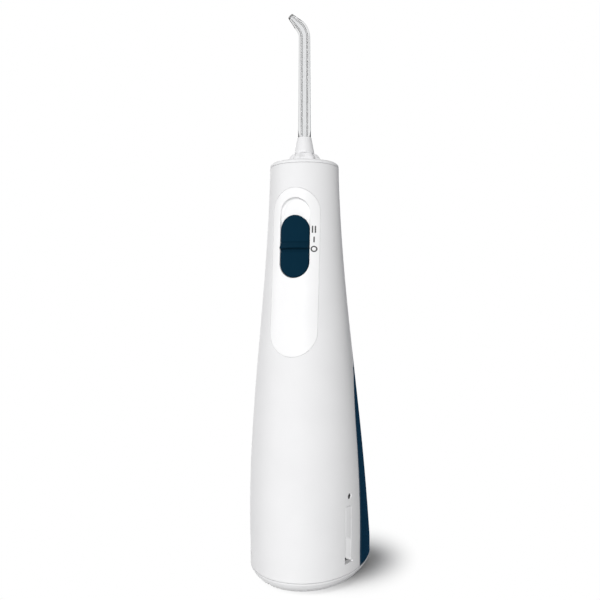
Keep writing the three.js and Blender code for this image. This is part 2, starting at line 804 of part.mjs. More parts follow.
// Intake tube: from the outlet back and down to the tank's floor
function intakeTube() {
  const start = BAY.y + SEAT_GAP / 2 + TANK.wall + PORT.flangeDepth + SEAT_GAP * 2;
  const filterTop = shellLow + TANK.wall + INTAKE.floorGap + INTAKE.filterHeight;
  const bend = INTAKE.bend;
  const points = [
    [portX, start, portZ],
    [portX, start + bend, portZ],
    [portX, INTAKE.backY - bend, portZ],
    [portX, INTAKE.backY, portZ - bend],
    [portX, INTAKE.backY, (portZ + filterTop) / 2],
    [portX, INTAKE.backY, filterTop + SEAT_GAP],
  ];
  return piece("intake_tube", hose(points, INTAKE.radius, INTAKE.bore, 12), FINISH.hose);
}

function intakeFilter() {
  const low = shellLow + TANK.wall + INTAKE.floorGap;
  const high = low + INTAKE.filterHeight;
  const profile = [
    [0, low],
    [INTAKE.filterRadius, low],
    [INTAKE.filterRadius, high - INTAKE.radius],
    [INTAKE.radius, high],
    [0, high],
  ];
  return piece("intake_filter", turned(profile, portX, INTAKE.backY, 16), FINISH.steel);
}

// Panel and slider share a leaning frame on the front
const sliderMiddle = (sliderLow + sliderHigh) / 2;
const frontLean = Math.atan((frontAt(sliderHigh) - frontAt(sliderLow)) / (sliderHigh - sliderLow));
const frontRadius = -frontAt(sliderMiddle);

// Turns a solid made about an upright axis through the origin into the leaning frame
function lean(manifold) {
  const turn = new THREE.Matrix4().makeRotationX(-frontLean);
  const drop = new THREE.Matrix4().makeTranslation(0, 0, -sliderMiddle);
  const back = new THREE.Matrix4().makeTranslation(0, 0, sliderMiddle);
  const matrix = back.multiply(new THREE.Matrix4().makeTranslation(0, -frontRadius, 0));
  matrix.multiply(turn).multiply(new THREE.Matrix4().makeTranslation(0, frontRadius, 0)).multiply(drop);
  return manifold.transform(matrix.elements);
}

function panelPlaque(grow) {
  const low = panelLow - grow;
  const high = panelHigh + grow;
  const width = PANEL.width + 2 * grow;
  return plaqueY(width, low, high, width / 2, farFront, 0, 8);
}

function recess(grow, y0, y1) {
  const low = sliderLow - SLIDER.edgeGap - grow;
  const high = sliderHigh + SLIDER.travel + SLIDER.edgeGap + grow;
  const width = SLIDER.width + 2 * (SLIDER.edgeGap + grow);
  return lean(plaqueY(width, low, high, width / 2, y0, y1, 8));
}

function uprightRod(radius) {
  return lean(rodZ(radius, panelLow, panelHigh + CUT_OVER, 0, 0, 48));
}

function sliderInner() {
  return frontRadius + SLIDER.proud - SLIDER.thickness;
}

// Radius of the back of the panel's tub, about the leaning axis
function tubInner() {
  return sliderInner() - SLIDER.floorGap - PANEL.tubWall;
}

function controlPanel() {
  const skin = core(shellLow, shellHigh, 0).subtract(core(shellLow, shellHigh, PANEL.depth));
  const floor = sliderInner() - SLIDER.floorGap;
  const tub = recess(PANEL.tubWall, farFront, 0).intersect(core(shellLow, shellHigh, 0));
  let panel = skin.intersect(panelPlaque(0)).add(tub.subtract(uprightRod(tubInner())));
  panel = panel.subtract(recess(0, farFront, 0).subtract(uprightRod(floor)));
  return piece("control_panel", panel, FINISH.panel);
}

function powerSlider() {
  const outer = uprightRod(frontRadius + SLIDER.proud);
  const outline = lean(plaqueY(SLIDER.width, sliderLow, sliderHigh, SLIDER.width / 2, farFront, 0, 8));
  let slider = outer.subtract(uprightRod(sliderInner())).intersect(outline);
  const half = SLIDER.ribHeight / 2;
  const rib = box(-SLIDER.width / 2, SLIDER.width / 2, farFront, 0, sliderMiddle - half, sliderMiddle + half);
  const crest = uprightRod(frontRadius + SLIDER.proud + SLIDER.ribProud).subtract(uprightRod(sliderInner()));
  slider = slider.add(lean(rib).intersect(crest).intersect(outline));
  const side = SLIDER.magnet / 2 + FIT_GAP;
  const pocketFront = -sliderInner() - SLIDER.magnetDepth - FIT_GAP;
  const pocket = box(-side, side, pocketFront, 0, sliderMiddle - side, sliderMiddle + side);
  return piece("power_slider", slider.subtract(lean(pocket)), FINISH.navy);
}

function sliderMagnet() {
  const half = SLIDER.magnet / 2;
  const front = -sliderInner() - SLIDER.magnetDepth;
  const flat = front + SLIDER.magnetDepth - FIT_GAP;
  const block = box(-half, half, front, flat, sliderMiddle - half, sliderMiddle + half);
  return piece("slider_magnet", lean(block), FINISH.steel);
}

// Release tabs: a long spring arm with a finger ramp at its low end
function releaseTab(side) {
  const band = core(shellLow, shellHigh, TAB.inset).subtract(core(shellLow, shellHigh, BODY.wall));
  let tab = band.intersect(tabWindow(side, TAB.side, TAB.low, TAB.high));
  const ramp = core(shellLow, shellHigh, 0).subtract(core(shellLow, shellHigh, TAB.rampDepth));
  const frontHalf = TAB.frontY + TAB.width / 2;
  const cut = ramp.intersect(box(-wideX, wideX, farFront, frontHalf, 0, TAB.rampTop));
  tab = tab.subtract(cut);
  return piece(side < 0 ? "release_tab_left" : "release_tab_right", tab, FINISH.shell);
}

// Drive train
const motorLow = mountLow + DRIVE.mount + SEAT_GAP;
const motorHigh = motorLow + MOTOR.height;
const plateLow = motorHigh + SEAT_GAP;
const plateHigh = plateLow + DRIVE.plate;
const gearLow = plateHigh + SEAT_GAP * 2;
const gearHigh = gearLow + GEARS.gearHeight;
const rodLow = gearHigh + GEARS.crankHeight + SEAT_GAP;

// A flat plate that fills the front chamber between the shell and the bay wall
function chamberPlate(low, high) {
  const inset = BODY.wall + DRIVE.edgeGap;
  const back = bayFrontY();
  return core(low, high, inset).intersect(box(-wideX, wideX, farFront, back, low, high));
}

function motorMount() {
  return piece("motor_mount", chamberPlate(mountLow, mountLow + DRIVE.mount), FINISH.inner);
}

function motor() {
  const radius = MOTOR.width / 2;
  const flat = MOTOR.depth / 2;
  const can = rodZ(radius, motorLow, motorHigh - MOTOR.bossHeight, MOTOR.x, DRIVE.y, 32);
  const cut = box(-wideX, wideX, DRIVE.y - flat, DRIVE.y + flat, motorLow, motorHigh);
  const boss = rodZ(MOTOR.bossRadius, motorHigh - MOTOR.bossHeight * 2, motorHigh, MOTOR.x, DRIVE.y, 16);
  const boreLow = motorHigh - MOTOR.shaftLow - SEAT_GAP;
  const bore = rodZ(MOTOR.shaft + FIT_GAP, boreLow, motorHigh + CUT_OVER, MOTOR.x, DRIVE.y);
  return piece("motor", can.intersect(cut).add(boss).subtract(bore), FINISH.steel);
}

function motorShaft() {
  const top = gearLow + GEARS.pinionHeight;
  const shaft = rodZ(MOTOR.shaft, motorHigh - MOTOR.shaftLow, top, MOTOR.x, DRIVE.y, 16);
  return piece("motor_shaft", shaft, FINISH.steel);
}

function gearPlate() {
  const half = screwX(screwHighZ()) - SCREW.post - SEAT_GAP;
  let plate = chamberPlate(plateLow, plateHigh).intersect(box(-half, half, farFront, 0, plateLow, plateHigh));
  plate = plate.subtract(rodZ(MOTOR.shaft + RUN_GAP, 0, plateHigh * 2, MOTOR.x, DRIVE.y, 16));
  plate = plate.subtract(rodZ(GEARS.axle + FIT_GAP, 0, plateHigh * 2, gearX, DRIVE.y, 16));
  const slot = HOSE.radius + SEAT_GAP;
  plate = plate.subtract(rodZ(slot, 0, plateHigh * 2, portX, hoseY, 12));
  plate = plate.subtract(box(portX - slot, portX + slot, hoseY, 0, 0, plateHigh * 2));
  return piece("gear_plate", plate, FINISH.inner);
}

// A spur gear's outline: trapezoid teeth with round ends left to the mesh slack
function toothedShape(teeth, phase) {
  const pitch = (GEARS.module * teeth) / 2;
  const tip = pitch + GEARS.addendumShare * GEARS.module;
  const root = pitch - GEARS.dedendumShare * GEARS.module;
  const step = (2 * Math.PI) / teeth;
  const wide = (step * GEARS.toothShare) / 2;
  const narrow = wide * GEARS.tipShare;
  const points = [];
  for (let i = 0; i < teeth; i += 1) {
    const middle = phase + i * step;
    for (const [radius, angle] of [
      [root, middle - wide],
      [tip, middle - narrow],
      [tip, middle + narrow],
      [root, middle + wide],
    ]) {
      points.push(new THREE.Vector2(radius * Math.cos(angle), radius * Math.sin(angle)));
    }
  }
  return new THREE.Shape(points);
}

function toothedWheel(teeth, phase, bore, low, high, x) {
  const options = { depth: high - low, bevelEnabled: false };
  const geometry = new THREE.ExtrudeGeometry(toothedShape(teeth, phase), options);
  const wheel = solid(geometry.translate(x, DRIVE.y, low));
  return wheel.subtract(rodZ(bore, low - CUT_OVER, high + CUT_OVER, x, DRIVE.y, 16));
}

function pinion() {
  const high = gearLow + GEARS.pinionHeight;
  const wheel = toothedWheel(GEARS.pinionTeeth, 0, MOTOR.shaft + FIT_GAP, gearLow, high, MOTOR.x);
  return piece("pinion", wheel, FINISH.brass);
}

function driveGear() {
  const half = Math.PI / GEARS.gearTeeth;
  const wheel = toothedWheel(GEARS.gearTeeth, Math.PI + half, GEARS.axle + FIT_GAP, gearLow, gearHigh, gearX);
  const crankTop = gearHigh + GEARS.crankHeight;
  const crankPin = rodZ(GEARS.crankPin, gearHigh - SEAT_GAP, crankTop, gearX + GEARS.crank, DRIVE.y, 12);
  return piece("drive_gear", wheel.add(crankPin), FINISH.inner);
}

function gearAxle() {
  const axle = rodZ(GEARS.axle, plateLow, gearHigh - SEAT_GAP * 2, gearX, DRIVE.y, 16);
  return piece("gear_axle", axle, FINISH.steel);
}

const rodMiddle = rodLow + PUMP.rod / 2;
const pumpOpen = PUMP.end + PUMP.length;
const pumpTop = rodMiddle + PUMP.above;

function pumpBody() {
  const half = PUMP.width / 2;
  let body = box(PUMP.end, pumpOpen, DRIVE.y - half, DRIVE.y + half, plateHigh + SEAT_GAP, pumpTop);
  body = body.intersect(core(plateHigh, pumpTop, BODY.wall + DRIVE.edgeGap));
  body = body.subtract(rodX(PUMP.bore, PUMP.end + PUMP.rod / 2, pumpOpen + CUT_OVER, DRIVE.y, rodMiddle));
  return piece("pump_body", body, FINISH.inner);
}

function plunger() {
  const face = pumpOpen - PUMP.plungerLength;
  const head = rodX(PUMP.plunger, face, pumpOpen - FIT_GAP, DRIVE.y, rodMiddle);
  const half = PUMP.rodWidth / 2;
  const eyeX = gearX + GEARS.crank;
  const bar = box(face, eyeX, DRIVE.y - half, DRIVE.y + half, rodLow, rodLow + PUMP.rod);
  const eye = rodZ(half, rodLow, rodLow + PUMP.rod, eyeX, DRIVE.y, 16);
  return piece("plunger", head.add(bar).add(eye), FINISH.inner);
}

function valve(name, x, y) {
  const low = pumpTop + SEAT_GAP;
  const profile = [
    [0, low],
    [VALVE.radius + HOSE.bore / 2, low],
    [VALVE.radius, low + VALVE.height / 2],
    [HOSE.bore, low + VALVE.height],
    [0, low + VALVE.height],
  ];
  return piece(name, turned(profile, x, y, 12), FINISH.brass);
}

// Hoses: from the tank's socket to the pump, and from the pump to the tip's socket
function suctionHose() {
  const start = BAY.y - SEAT_GAP / 2 - PORT.reach - BAY.wall - SEAT_GAP;
  const end = pumpTop + SEAT_GAP * 2 + VALVE.height;
  const y = -PORT.reach - HOSE.radius;
  const points = [
    [portX, start, portZ],
    [portX, start - HOSE.radius, portZ],
    [portX, y - HOSE.radius, portZ + HOSE.radius * 2],
    [portX, y, (portZ + plateLow) / 2],
    [portX, hoseY, plateLow],
    [portX, hoseY, gearHigh],
    [portX - HOSE.radius, hoseY - HOSE.radius, plateHigh + HOSE.radius * 6],
    [(portX + VALVE.inletX) / 2, VALVE.inletY, end + HOSE.radius * 5],
    [VALVE.inletX, VALVE.inletY, end + HOSE.radius * 2],
    [VALVE.inletX, VALVE.inletY, end],
  ];
  return piece("suction_hose", hose(points, HOSE.radius, HOSE.bore, 18), FINISH.hose);
}

function pressureHose() {
  const start = pumpTop + SEAT_GAP * 2 + VALVE.height;
  const end = socketSpigotLow - SEAT_GAP;
  const points = [
    [VALVE.outletX, VALVE.outletY, start],
    [VALVE.outletX, VALVE.outletY, start + HOSE.radius * 3],
    [VALVE.outletX / 2, VALVE.outletY / 2, (start * 2 + end) / 3],
    [0, 0, (start + end * 2) / 3],
    [0, 0, end - HOSE.radius],
    [0, 0, end],
  ];
  return piece("pressure_hose", hose(points, HOSE.radius, HOSE.bore, 14), FINISH.hose);
}

// Control board
function boardFront() {
  return SEAT_GAP + SENSOR.depth + FIT_GAP * 2 - tubInner();
}

function controlBoard() {
  const half = BOARD.width / 2;
  const board = box(-half, half, boardFront(), boardFront() + BOARD.thickness, boardLow, boardHigh);
  return piece("control_board", lean(board), FINISH.board);
}

function hallSensor(index, z) {
  const half = SENSOR.width / 2;
  const front = boardFront() - FIT_GAP - SENSOR.depth;
  const chip = box(-half, half, front, front + SENSOR.depth, z - half, z + half);
  return piece("hall_sensor_" + index, lean(chip), FINISH.seal);
}

// Top cap, knob, tip socket
function topCap() {
  const low = bodyTop - CAP.plate - CAP.spigot;
  const spigotInset = BODY.wall + SEAT_GAP;
  const spigot = core(low, BODY.shoulder, spigotInset);
  const plate = form([
    { z: BODY.shoulder, inset: 0 },
    { z: bodyTop, inset: BODY.shoulderInset },
  ]);
  const hole = rodZ(CAP.hole, 0, bodyTop * 2, 0, 0, 32);
  return piece("top_cap", spigot.add(plate).subtract(hole), FINISH.shell);
}

function lobed(geometry, low) {
  const place = geometry.attributes.position;
  for (let i = 0; i < place.count; i += 1) {
    const x = place.getX(i);
    const y = place.getY(i);
    const angle = Math.atan2(y, x);
    const outside = place.getZ(i) >= low && Math.hypot(x, y) > KNOB.skirt + FIT_GAP;
    const lobe = Math.cos(KNOB.lobes * (angle - THREE.MathUtils.degToRad(KNOB.turn)));
    const swell = outside ? 1 + KNOB.lobeShare * lobe : 1;
    place.setXY(i, x * swell, y * swell);
  }
  return geometry;
}

function tipKnob() {
  const profile = [
    [KNOB.bore, skirtLow],
    [KNOB.clip - KNOB.clipHeight / 2, skirtLow],
    [KNOB.skirt, skirtLow + KNOB.clipHeight],
    [KNOB.skirt, knobLow],
    [KNOB.low, knobLow],
    [(KNOB.low * 2 + KNOB.high) / 3, knobLow + KNOB.height / 3],
    [KNOB.high, knobHigh],
    [KNOB.bore, knobHigh],
    [KNOB.bore, skirtLow],
  ].map(([r, z]) => new THREE.Vector2(r, z));
  const geometry = new THREE.LatheGeometry(profile, KNOB.lobes * 6).rotateX(Math.PI / 2);
  return piece("tip_knob", solid(lobed(geometry, knobLow)), FINISH.shell);
}

function tipSocket() {
  const high = skirtLow - SEAT_GAP;
  const flangeTop = socketLow + SOCKET.flangeHeight;
  const profile = [
    [HOSE.bore, socketSpigotLow],
    [SOCKET.spigot, socketSpigotLow],
    [SOCKET.spigot, socketLow],
    [SOCKET.radius, socketLow],
    [SOCKET.radius, high],
    [SOCKET.bore, high],
    [SOCKET.bore, flangeTop],
    [HOSE.bore, flangeTop],
    [HOSE.bore, socketSpigotLow],
  ];
  const neck = core(socketLow, flangeTop, BODY.wall + SEAT_GAP).intersect(uprightRod(tubInner() - SEAT_GAP));
  const flange = neck.subtract(rodZ(SOCKET.radius - FIT_GAP, 0, bodyTop, 0, 0, 24));
  return piece("tip_socket", turned(profile, 0, 0, 24).add(flange), FINISH.inner);
}

// Jet tip
function tipPlug() {
  const groove = TIP.plug - TIP.seal * 2 + FIT_GAP;
  const half = TIP.seal + FIT_GAP;
  const top = knobHigh + TIP.collarGap - FIT_GAP;
  const profile = [
    [TIP.stem + FIT_GAP, plugLow],
    [TIP.plug, plugLow],
    [TIP.plug, sealLevel - half],
    [groove, sealLevel - half],
    [groove, sealLevel + half],
    [TIP.plug, sealLevel + half],
    [TIP.plug, top],
    [TIP.stem + FIT_GAP, top],
    [TIP.stem + FIT_GAP, plugLow],
  ];
  return piece("tip_plug", turned(profile, 0, 0, 24), FINISH.shell);
}

function tipSeal() {
  const radius = TIP.plug - TIP.seal + FIT_GAP * 2;
  return piece("tip_seal", ringZ(radius, TIP.seal - FIT_GAP, sealLevel), FINISH.seal);
}

function tipCollar() {
  const low = knobHigh + TIP.collarGap;
  const profile = [
    [TIP.stem + FIT_GAP, low],
    [TIP.collarLow, low],
    [TIP.collarLow, low + TIP.collarGap * 2],
    [TIP.collarHigh, collarTop],
    [TIP.stem + FIT_GAP, collarTop],
    [TIP.stem + FIT_GAP, low],
  ];
  return piece("tip_collar", turned(profile, 0, 0, 32), FINISH.shell);
}

// The tube's centre line: straight up, round the elbow, then straight to the nozzle
function tubePoint(distance) {
  const turnAngle = THREE.MathUtils.degToRad(TIP.turnDown);
  const straight = elbowZ - TIP.elbowRadius * Math.tan(turnAngle / 2);
  const along = Math.max(distance - straight, 0);
  const turn = Math.min(along / TIP.elbowRadius, turnAngle);
  const past = Math.max(along - TIP.elbowRadius * turnAngle, 0);
  const out = TIP.elbowRadius * (1 - Math.cos(turn)) + past * Math.sin(turn);
  const rise = Math.min(distance, straight) + TIP.elbowRadius * Math.sin(turn) + past * Math.cos(turn);
  return { out, rise, turn };
}

function jetTube() {
  const turnAngle = THREE.MathUtils.degToRad(TIP.turnDown);
  const bendStart = elbowZ - TIP.elbowRadius * Math.tan(turnAngle / 2);
  const bendEnd = bendStart + TIP.elbowRadius * turnAngle;
  const end = bendEnd + TIP.reach - TIP.elbowRadius * Math.tan(turnAngle / 2);
  const shoulder = collarTop + FIT_GAP;
  const bendAt = (i) => bendStart + ((bendEnd - bendStart) * i) / TIP.bendSteps;
  const bends = Array.from({ length: TIP.bendSteps + 1 }, (_, i) => bendAt(i));
  const stations = [shoulder, (shoulder + bendStart) / 2, ...bends, end];
  const widthAt = (s) => {
    const low = Math.min((s - shoulder) / (bendEnd - shoulder), 1);
    const high = Math.max((s - bendEnd) / (end - bendEnd), 0);
    return TIP.tubeLow + (TIP.tubeHigh - TIP.tubeLow) * low + (TIP.tubeEnd - TIP.tubeHigh) * high;
  };
  const boreAt = (s) => {
    const high = Math.max((s - bendEnd) / (end - bendEnd), 0);
    return TIP.boreLow + (TIP.boreEnd - TIP.boreLow) * high;
  };
  const stemLow = plugLow + TIP.seal;
  const outside = [[TIP.stem, stemLow], [TIP.stem, shoulder], ...stations.map((s) => [widthAt(s), s])];
  const inside = [stemLow, ...stations].map((s) => [boreAt(s), s]).reverse();
  const rows = [...outside, ...inside, outside[0]];
  const profile = rows.map(([r, z]) => new THREE.Vector2(r, z));
  const geometry = new THREE.LatheGeometry(profile, 16).rotateX(Math.PI / 2);
  const heading = THREE.MathUtils.degToRad(TIP.heading);
  const place = geometry.attributes.position;
  for (let i = 0; i < place.count; i += 1) {
    const { out, rise, turn } = tubePoint(place.getZ(i));
    const across = place.getX(i);
    const ahead = -place.getY(i);
    const forward = out + ahead * Math.cos(turn);
    const up = rise - ahead * Math.sin(turn);
    const x = across * Math.cos(heading) - forward * Math.sin(heading);
    const y = -across * Math.sin(heading) - forward * Math.cos(heading);
    place.setXYZ(i, x, y, up);
  }
  return piece("jet_tube", solid(geometry), FINISH.clear);
}

// The assembly, with its origin under the middle of its box
function assemble() {
  const flosser = new THREE.Group();
  flosser.position.y = -(BODY.back - BODY.front) / 2;
  flosser.add(frontShell(), rearShell(), topCap(), basePlate(), controlPanel());
  screwPlaces().forEach(([x, z], i) => flosser.add(caseScrew(i + 1, x, z)));
  flosser.add(doorHingePin(), cellTube(), topContact());
  flosser.add(batteryDoor(), doorSeal(), doorContact());
  for (let i = 0; i < CELL_COUNT; i += 1) {
    flosser.add(dryCell(i), cellSpring(i));
  }
  flosser.add(tank(), outletPipe(), intakeTube(), intakeFilter(), fillPin());
  flosser.add(fillDoor(), fillSeal(), portSocket(), portSeal());
  flosser.add(powerSlider(), sliderMagnet(), releaseTab(-1), releaseTab(1));
  flosser.add(motorMount(), motor(), motorShaft(), gearPlate(), pinion(), driveGear(), gearAxle());
  flosser.add(pumpBody(), plunger());
  flosser.add(valve("inlet_valve", VALVE.inletX, VALVE.inletY));
  flosser.add(valve("outlet_valve", VALVE.outletX, VALVE.outletY));
  flosser.add(suctionHose(), pressureHose(), controlBoard());
  flosser.add(hallSensor(1, boardLow + SENSOR.lowRise), hallSensor(2, boardLow + SENSOR.highRise));
  flosser.add(tipSocket(), tipKnob(), tipPlug(), tipSeal(), tipCollar(), jetTube());
  return flosser;
}

export default assemble();
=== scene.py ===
"""Looks of a slim cordless water flosser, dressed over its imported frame.

Lengths are millimetres, measured from the jet tip's axis and from the surface that the flosser
stands on, with the front facing -Y. Shape.make puts them into the frame, in metres.
"""

import logging
import math
from collections.abc import Callable, Sequence
from dataclasses import dataclass, field, replace
from enum import Enum
from typing import NamedTuple

import bmesh
import bpy
import numpy as np
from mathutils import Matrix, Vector
from mathutils.geometry import delaunay_2d_cdt


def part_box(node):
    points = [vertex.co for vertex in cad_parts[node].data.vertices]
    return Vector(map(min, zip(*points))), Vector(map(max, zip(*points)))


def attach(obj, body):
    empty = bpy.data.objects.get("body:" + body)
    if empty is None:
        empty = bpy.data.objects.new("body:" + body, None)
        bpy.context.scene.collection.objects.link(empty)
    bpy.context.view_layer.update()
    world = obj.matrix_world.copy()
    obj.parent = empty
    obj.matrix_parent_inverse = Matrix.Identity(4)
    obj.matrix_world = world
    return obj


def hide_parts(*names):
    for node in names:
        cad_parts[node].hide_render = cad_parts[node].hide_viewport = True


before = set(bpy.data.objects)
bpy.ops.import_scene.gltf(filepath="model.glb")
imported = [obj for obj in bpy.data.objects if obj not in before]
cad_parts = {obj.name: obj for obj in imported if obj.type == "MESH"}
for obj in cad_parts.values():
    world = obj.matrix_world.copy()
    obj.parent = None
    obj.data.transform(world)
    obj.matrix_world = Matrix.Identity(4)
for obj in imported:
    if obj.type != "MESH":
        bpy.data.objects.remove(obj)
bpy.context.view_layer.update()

logging.basicConfig(level=logging.INFO, format="%(message)s")
LOG = logging.getLogger("water_flosser")

Array = np.ndarray
Loop = tuple[Array, Array]
MM = 0.001
# Least length that a vector or a slope is divided by.
TINY = 1e-12
# A measure below this counts as nothing.
NOTHING = 1e-6
# Points of an outline nearer to each other than this are one point.
APART = 1e-3
# Distance at which the triangulation joins two points.
MERGED = 1e-7
# Rounds of substitution that settle a crossing.
SUBSTITUTIONS = 60
# Share of the bend's rise that stays short of its end, where the slope has no value.
SHORT_OF_END = 0.999
# Least share of a mitre, which keeps sharp corners from running out.
LEAST_MITRE = 0.4
# Grid points compared with an outline at a time.
BATCH = 2000
# Share of the spacing that grid points keep from an outline.
RIM_ROOM = 0.55
# Least cosine between a wanted normal and its face.
LEAST_FACING = 0.1
# Least radius of a softened corner.
LEAST_ROUND = 0.02
# Limits between which noise is spread.
NOISE_SPAN = (0.3, 0.7)
# Distance within which corners are welded.
WELD = 1e-4
# Directions of the front and the back, in radians from +X.
FRONT = -math.pi / 2
BACK = math.pi / 2


def tip_axis_y() -> float:
    """Y of the jet tip's axis in the frame, in millimetres."""
    low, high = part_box("tip_plug")
    return (low.y + high.y) / 2 / MM


def unit(vectors: Array) -> Array:
    """Vectors divided by their lengths."""
    return vectors / np.maximum(np.linalg.norm(vectors, axis=-1, keepdims=True), TINY)


class Facing(Enum):
    """How the plane points of an outline lie on the body."""

    AHEAD = "x and z, on the front"
    BEHIND = "x and z, on the back"
    RIGHT = "y and z, on the right side"
    LEFT = "y and z, on the left side"
    AROUND = "length round the body and z"


class Section(NamedTuple):
    """Half widths, reaches and powers of the body's outline at each height."""

    side: Array
    front: Array
    back: Array
    middle: Array
    front_power: Array
    back_power: Array


@dataclass(frozen=True)
class BodyForm:
    """The flared body: an outline of two half superellipses at every height."""

    neck: float = 17.85
    neck_level: float = 208.0
    foot_level: float = 14.0
    front: float = 29.5
    back: float = 39.2
    side: float = 30.8
    widest: float = 15.0
    wall: float = 2.2
    shell_low: float = 5.42
    shell_high: float = 209.84
    round_scale: float = 24.0
    depth_flare: tuple[float, float] = (1.2, 0.2)
    width_flare: tuple[float, float] = (1.0, 0.38)
    power: float = 2.0
    front_extra: float = 0.1
    back_extra: float = 0.8

    def flare(self, z: Array, power: float, taper: float) -> Array:
        """Share of the full flare: a falling half cosine of height**power, mixed with a straight taper."""
        rise = np.clip((z - self.foot_level) / (self.neck_level - self.foot_level), 0, 1)
        return (1 - taper) * (1 + np.cos(np.pi * rise**power)) / 2 + taper * (1 - rise)

    def section(self, z: Array) -> Section:
        """Sizes of the outline at heights z, each the neck's size plus the flare's share of the rest."""
        depth = self.flare(z, *self.depth_flare)
        width = self.flare(z, *self.width_flare)
        left = 1 - np.clip((z - self.foot_level) / (self.neck_level - self.foot_level), 0, 1)
        return Section(
            self.neck + (self.side - self.neck) * width,
            self.neck + (self.front - self.neck) * depth,
            self.neck + (self.back - self.neck) * depth,
            self.widest * left**4,
            self.power + self.front_extra * depth,
            self.power + self.back_extra * depth,
        )

    def surface(self, angle: Array, z: Array, inset: float | Array = 0.0) -> Array:
        """Points at an angle and height: (side cos a, reach sin a) * (|cos a|**n + |sin a|**n)**(-1/n).

        Args:
            angle: angle from +X towards +Y, in radians.
            z: heights.
            inset: distance in from the outer surface.

        Returns:
            The points, with a last axis of three.
        """
        s = self.section(z)
        ahead = np.sin(angle) < 0
        power = np.where(ahead, s.front_power, s.back_power)
        reach = np.where(ahead, s.front + s.middle, s.back - s.middle) - inset
        across = np.cos(angle)
        along = np.sin(angle)
        k = (np.abs(across) ** power + np.abs(along) ** power) ** (-1 / power)
        return np.stack([(s.side - inset) * across * k, s.middle + reach * along * k, z + 0 * k], -1)

    def across(self, x: Array, z: Array, inset: float | Array, ahead: bool) -> Array:
        """Points of the front or back surface above given x and z.

        Args:
            x: distances to the right.
            z: heights.
            inset: distance in from the outer surface.
            ahead: True for the front, False for the back.

        Returns:
            The points: y = middle -+ reach * (1 - |x / side|**n)**(1/n).
        """
        s = self.section(z)
        power = s.front_power if ahead else s.back_power
        reach = (s.front + s.middle if ahead else s.back - s.middle) - inset
        share = np.clip(np.abs(x) / (s.side - inset), 0, 1)
        out = reach * (1 - share**power) ** (1 / power)
        return np.stack([x + 0 * out, s.middle - out if ahead else s.middle + out, z + 0 * out], -1)

    def beside(self, y: Array, z: Array, inset: float | Array, right: bool) -> Array:
        """Points of the side surface above given y and z.

        Args:
            y: distances back.
            z: heights.
            inset: distance in from the outer surface.
            right: True for the side at +X.

        Returns:
            The points: |x| = side * (1 - |t|**n)**(1/n), with t the share of the reach.
        """
        s = self.section(z)
        ahead = y < s.middle
        power = np.where(ahead, s.front_power, s.back_power)
        reach = np.where(ahead, s.front + s.middle, s.back - s.middle) - inset
        share = np.clip(np.abs(y - s.middle) / reach, 0, 1)
        x = (s.side - inset) * (1 - share**power) ** (1 / power)
        return np.stack([x if right else -x, y + 0 * x, z + 0 * x], -1)

    def angle_of(self, points: Array, centre: float, inset: float | Array) -> Array:
        """Angles of points on the surface at an inset, less the centre angle, kept within half a turn."""
        s = self.section(points[..., 2])
        y = points[..., 1] - s.middle
        reach = np.where(y < 0, s.front + s.middle, s.back - s.middle) - inset
        turn = np.arctan2(y / reach, points[..., 0] / (s.side - inset)) - centre
        return (turn + np.pi) % (2 * np.pi) - np.pi


@dataclass(frozen=True)
class BayLine:
    """The line where handle and tank meet: upright, then an arc that runs up and back."""

    y: float = 0.7
    straight_top: float = 75.1
    bend: float = 80.0
    gap: float = 0.15
    seam_y: float = 6.0
    steep_top: float = 100.0

    def at(self, z: Array, offset: float) -> Array:
        """Y of the line moved back by an offset: y0 + r - sqrt((r - offset)**2 - (z - top)**2)."""
        rise = np.clip(z - self.straight_top, 0, self.bend * SHORT_OF_END)
        radius = self.bend - offset
        return self.y + self.bend - np.sqrt(np.clip(radius**2 - rise**2, 0, None))

    def height_at(self, y: Array, offset: float) -> Array:
        """Height at which the arc, moved back by an offset, reaches a distance back y."""
        run = self.y + self.bend - y
        return self.straight_top + np.sqrt(np.clip((self.bend - offset) ** 2 - run**2, 0, None))

    def lift(self, offset: float) -> Callable[[Array], Array]:
        """The map from (x, z) to points of the line moved back by an offset."""
        return lambda p: np.stack([p[:, 0], self.at(p[:, 1], offset), p[:, 1]], -1)

    def over(self, form: BodyForm, angle: Array, offset: float, inset: float) -> Array:
        """Points at given angles where the arc crosses the surface, found by repeated substitution."""
        z = np.full_like(angle, self.straight_top + self.bend * 0.5)
        for _ in range(SUBSTITUTIONS):
            z = self.height_at(form.surface(angle, z, inset)[..., 1], offset)
        return form.surface(angle, z, inset)

    def rim(self, form: BodyForm, offset: float, inset: float, low: float) -> tuple[Array, int]:
        """The line's crossing with the surface: up the right side, over the back, down the left.

        Args:
            form: the body.
            offset: distance that the line is moved back.
            inset: distance in from the outer surface.
            low: height of both ends.

        Returns:
            The points, and how many of them belong to the right side.
        """
        z = np.concatenate(
            [np.linspace(low, self.straight_top, 34)[:-1], np.linspace(self.straight_top, self.steep_top, 16)]
        )
        right = form.beside(self.at(z, offset), z, inset, True)
        start = float(form.angle_of(right[-1:], BACK, inset)[0])
        over = self.over(form, BACK + np.linspace(start, -start, 96)[1:-1], offset, inset)
        return np.vstack([right, over, right[::-1] * (-1, 1, 1)]), len(z)


def run(corners: Sequence[Sequence[float]], step: float) -> Array:
    """An open path through corners, each run divided evenly."""
    points = [np.array(corners[0], float)[None]]
    for a, b in zip(corners[:-1], corners[1:]):
        count = max(1, math.ceil(math.dist(a, b) / step))
        share = np.linspace(0, 1, count + 1)[1:, None]
        points.append(np.array(a) + (np.array(b) - np.array(a)) * share)
    return np.vstack(points)


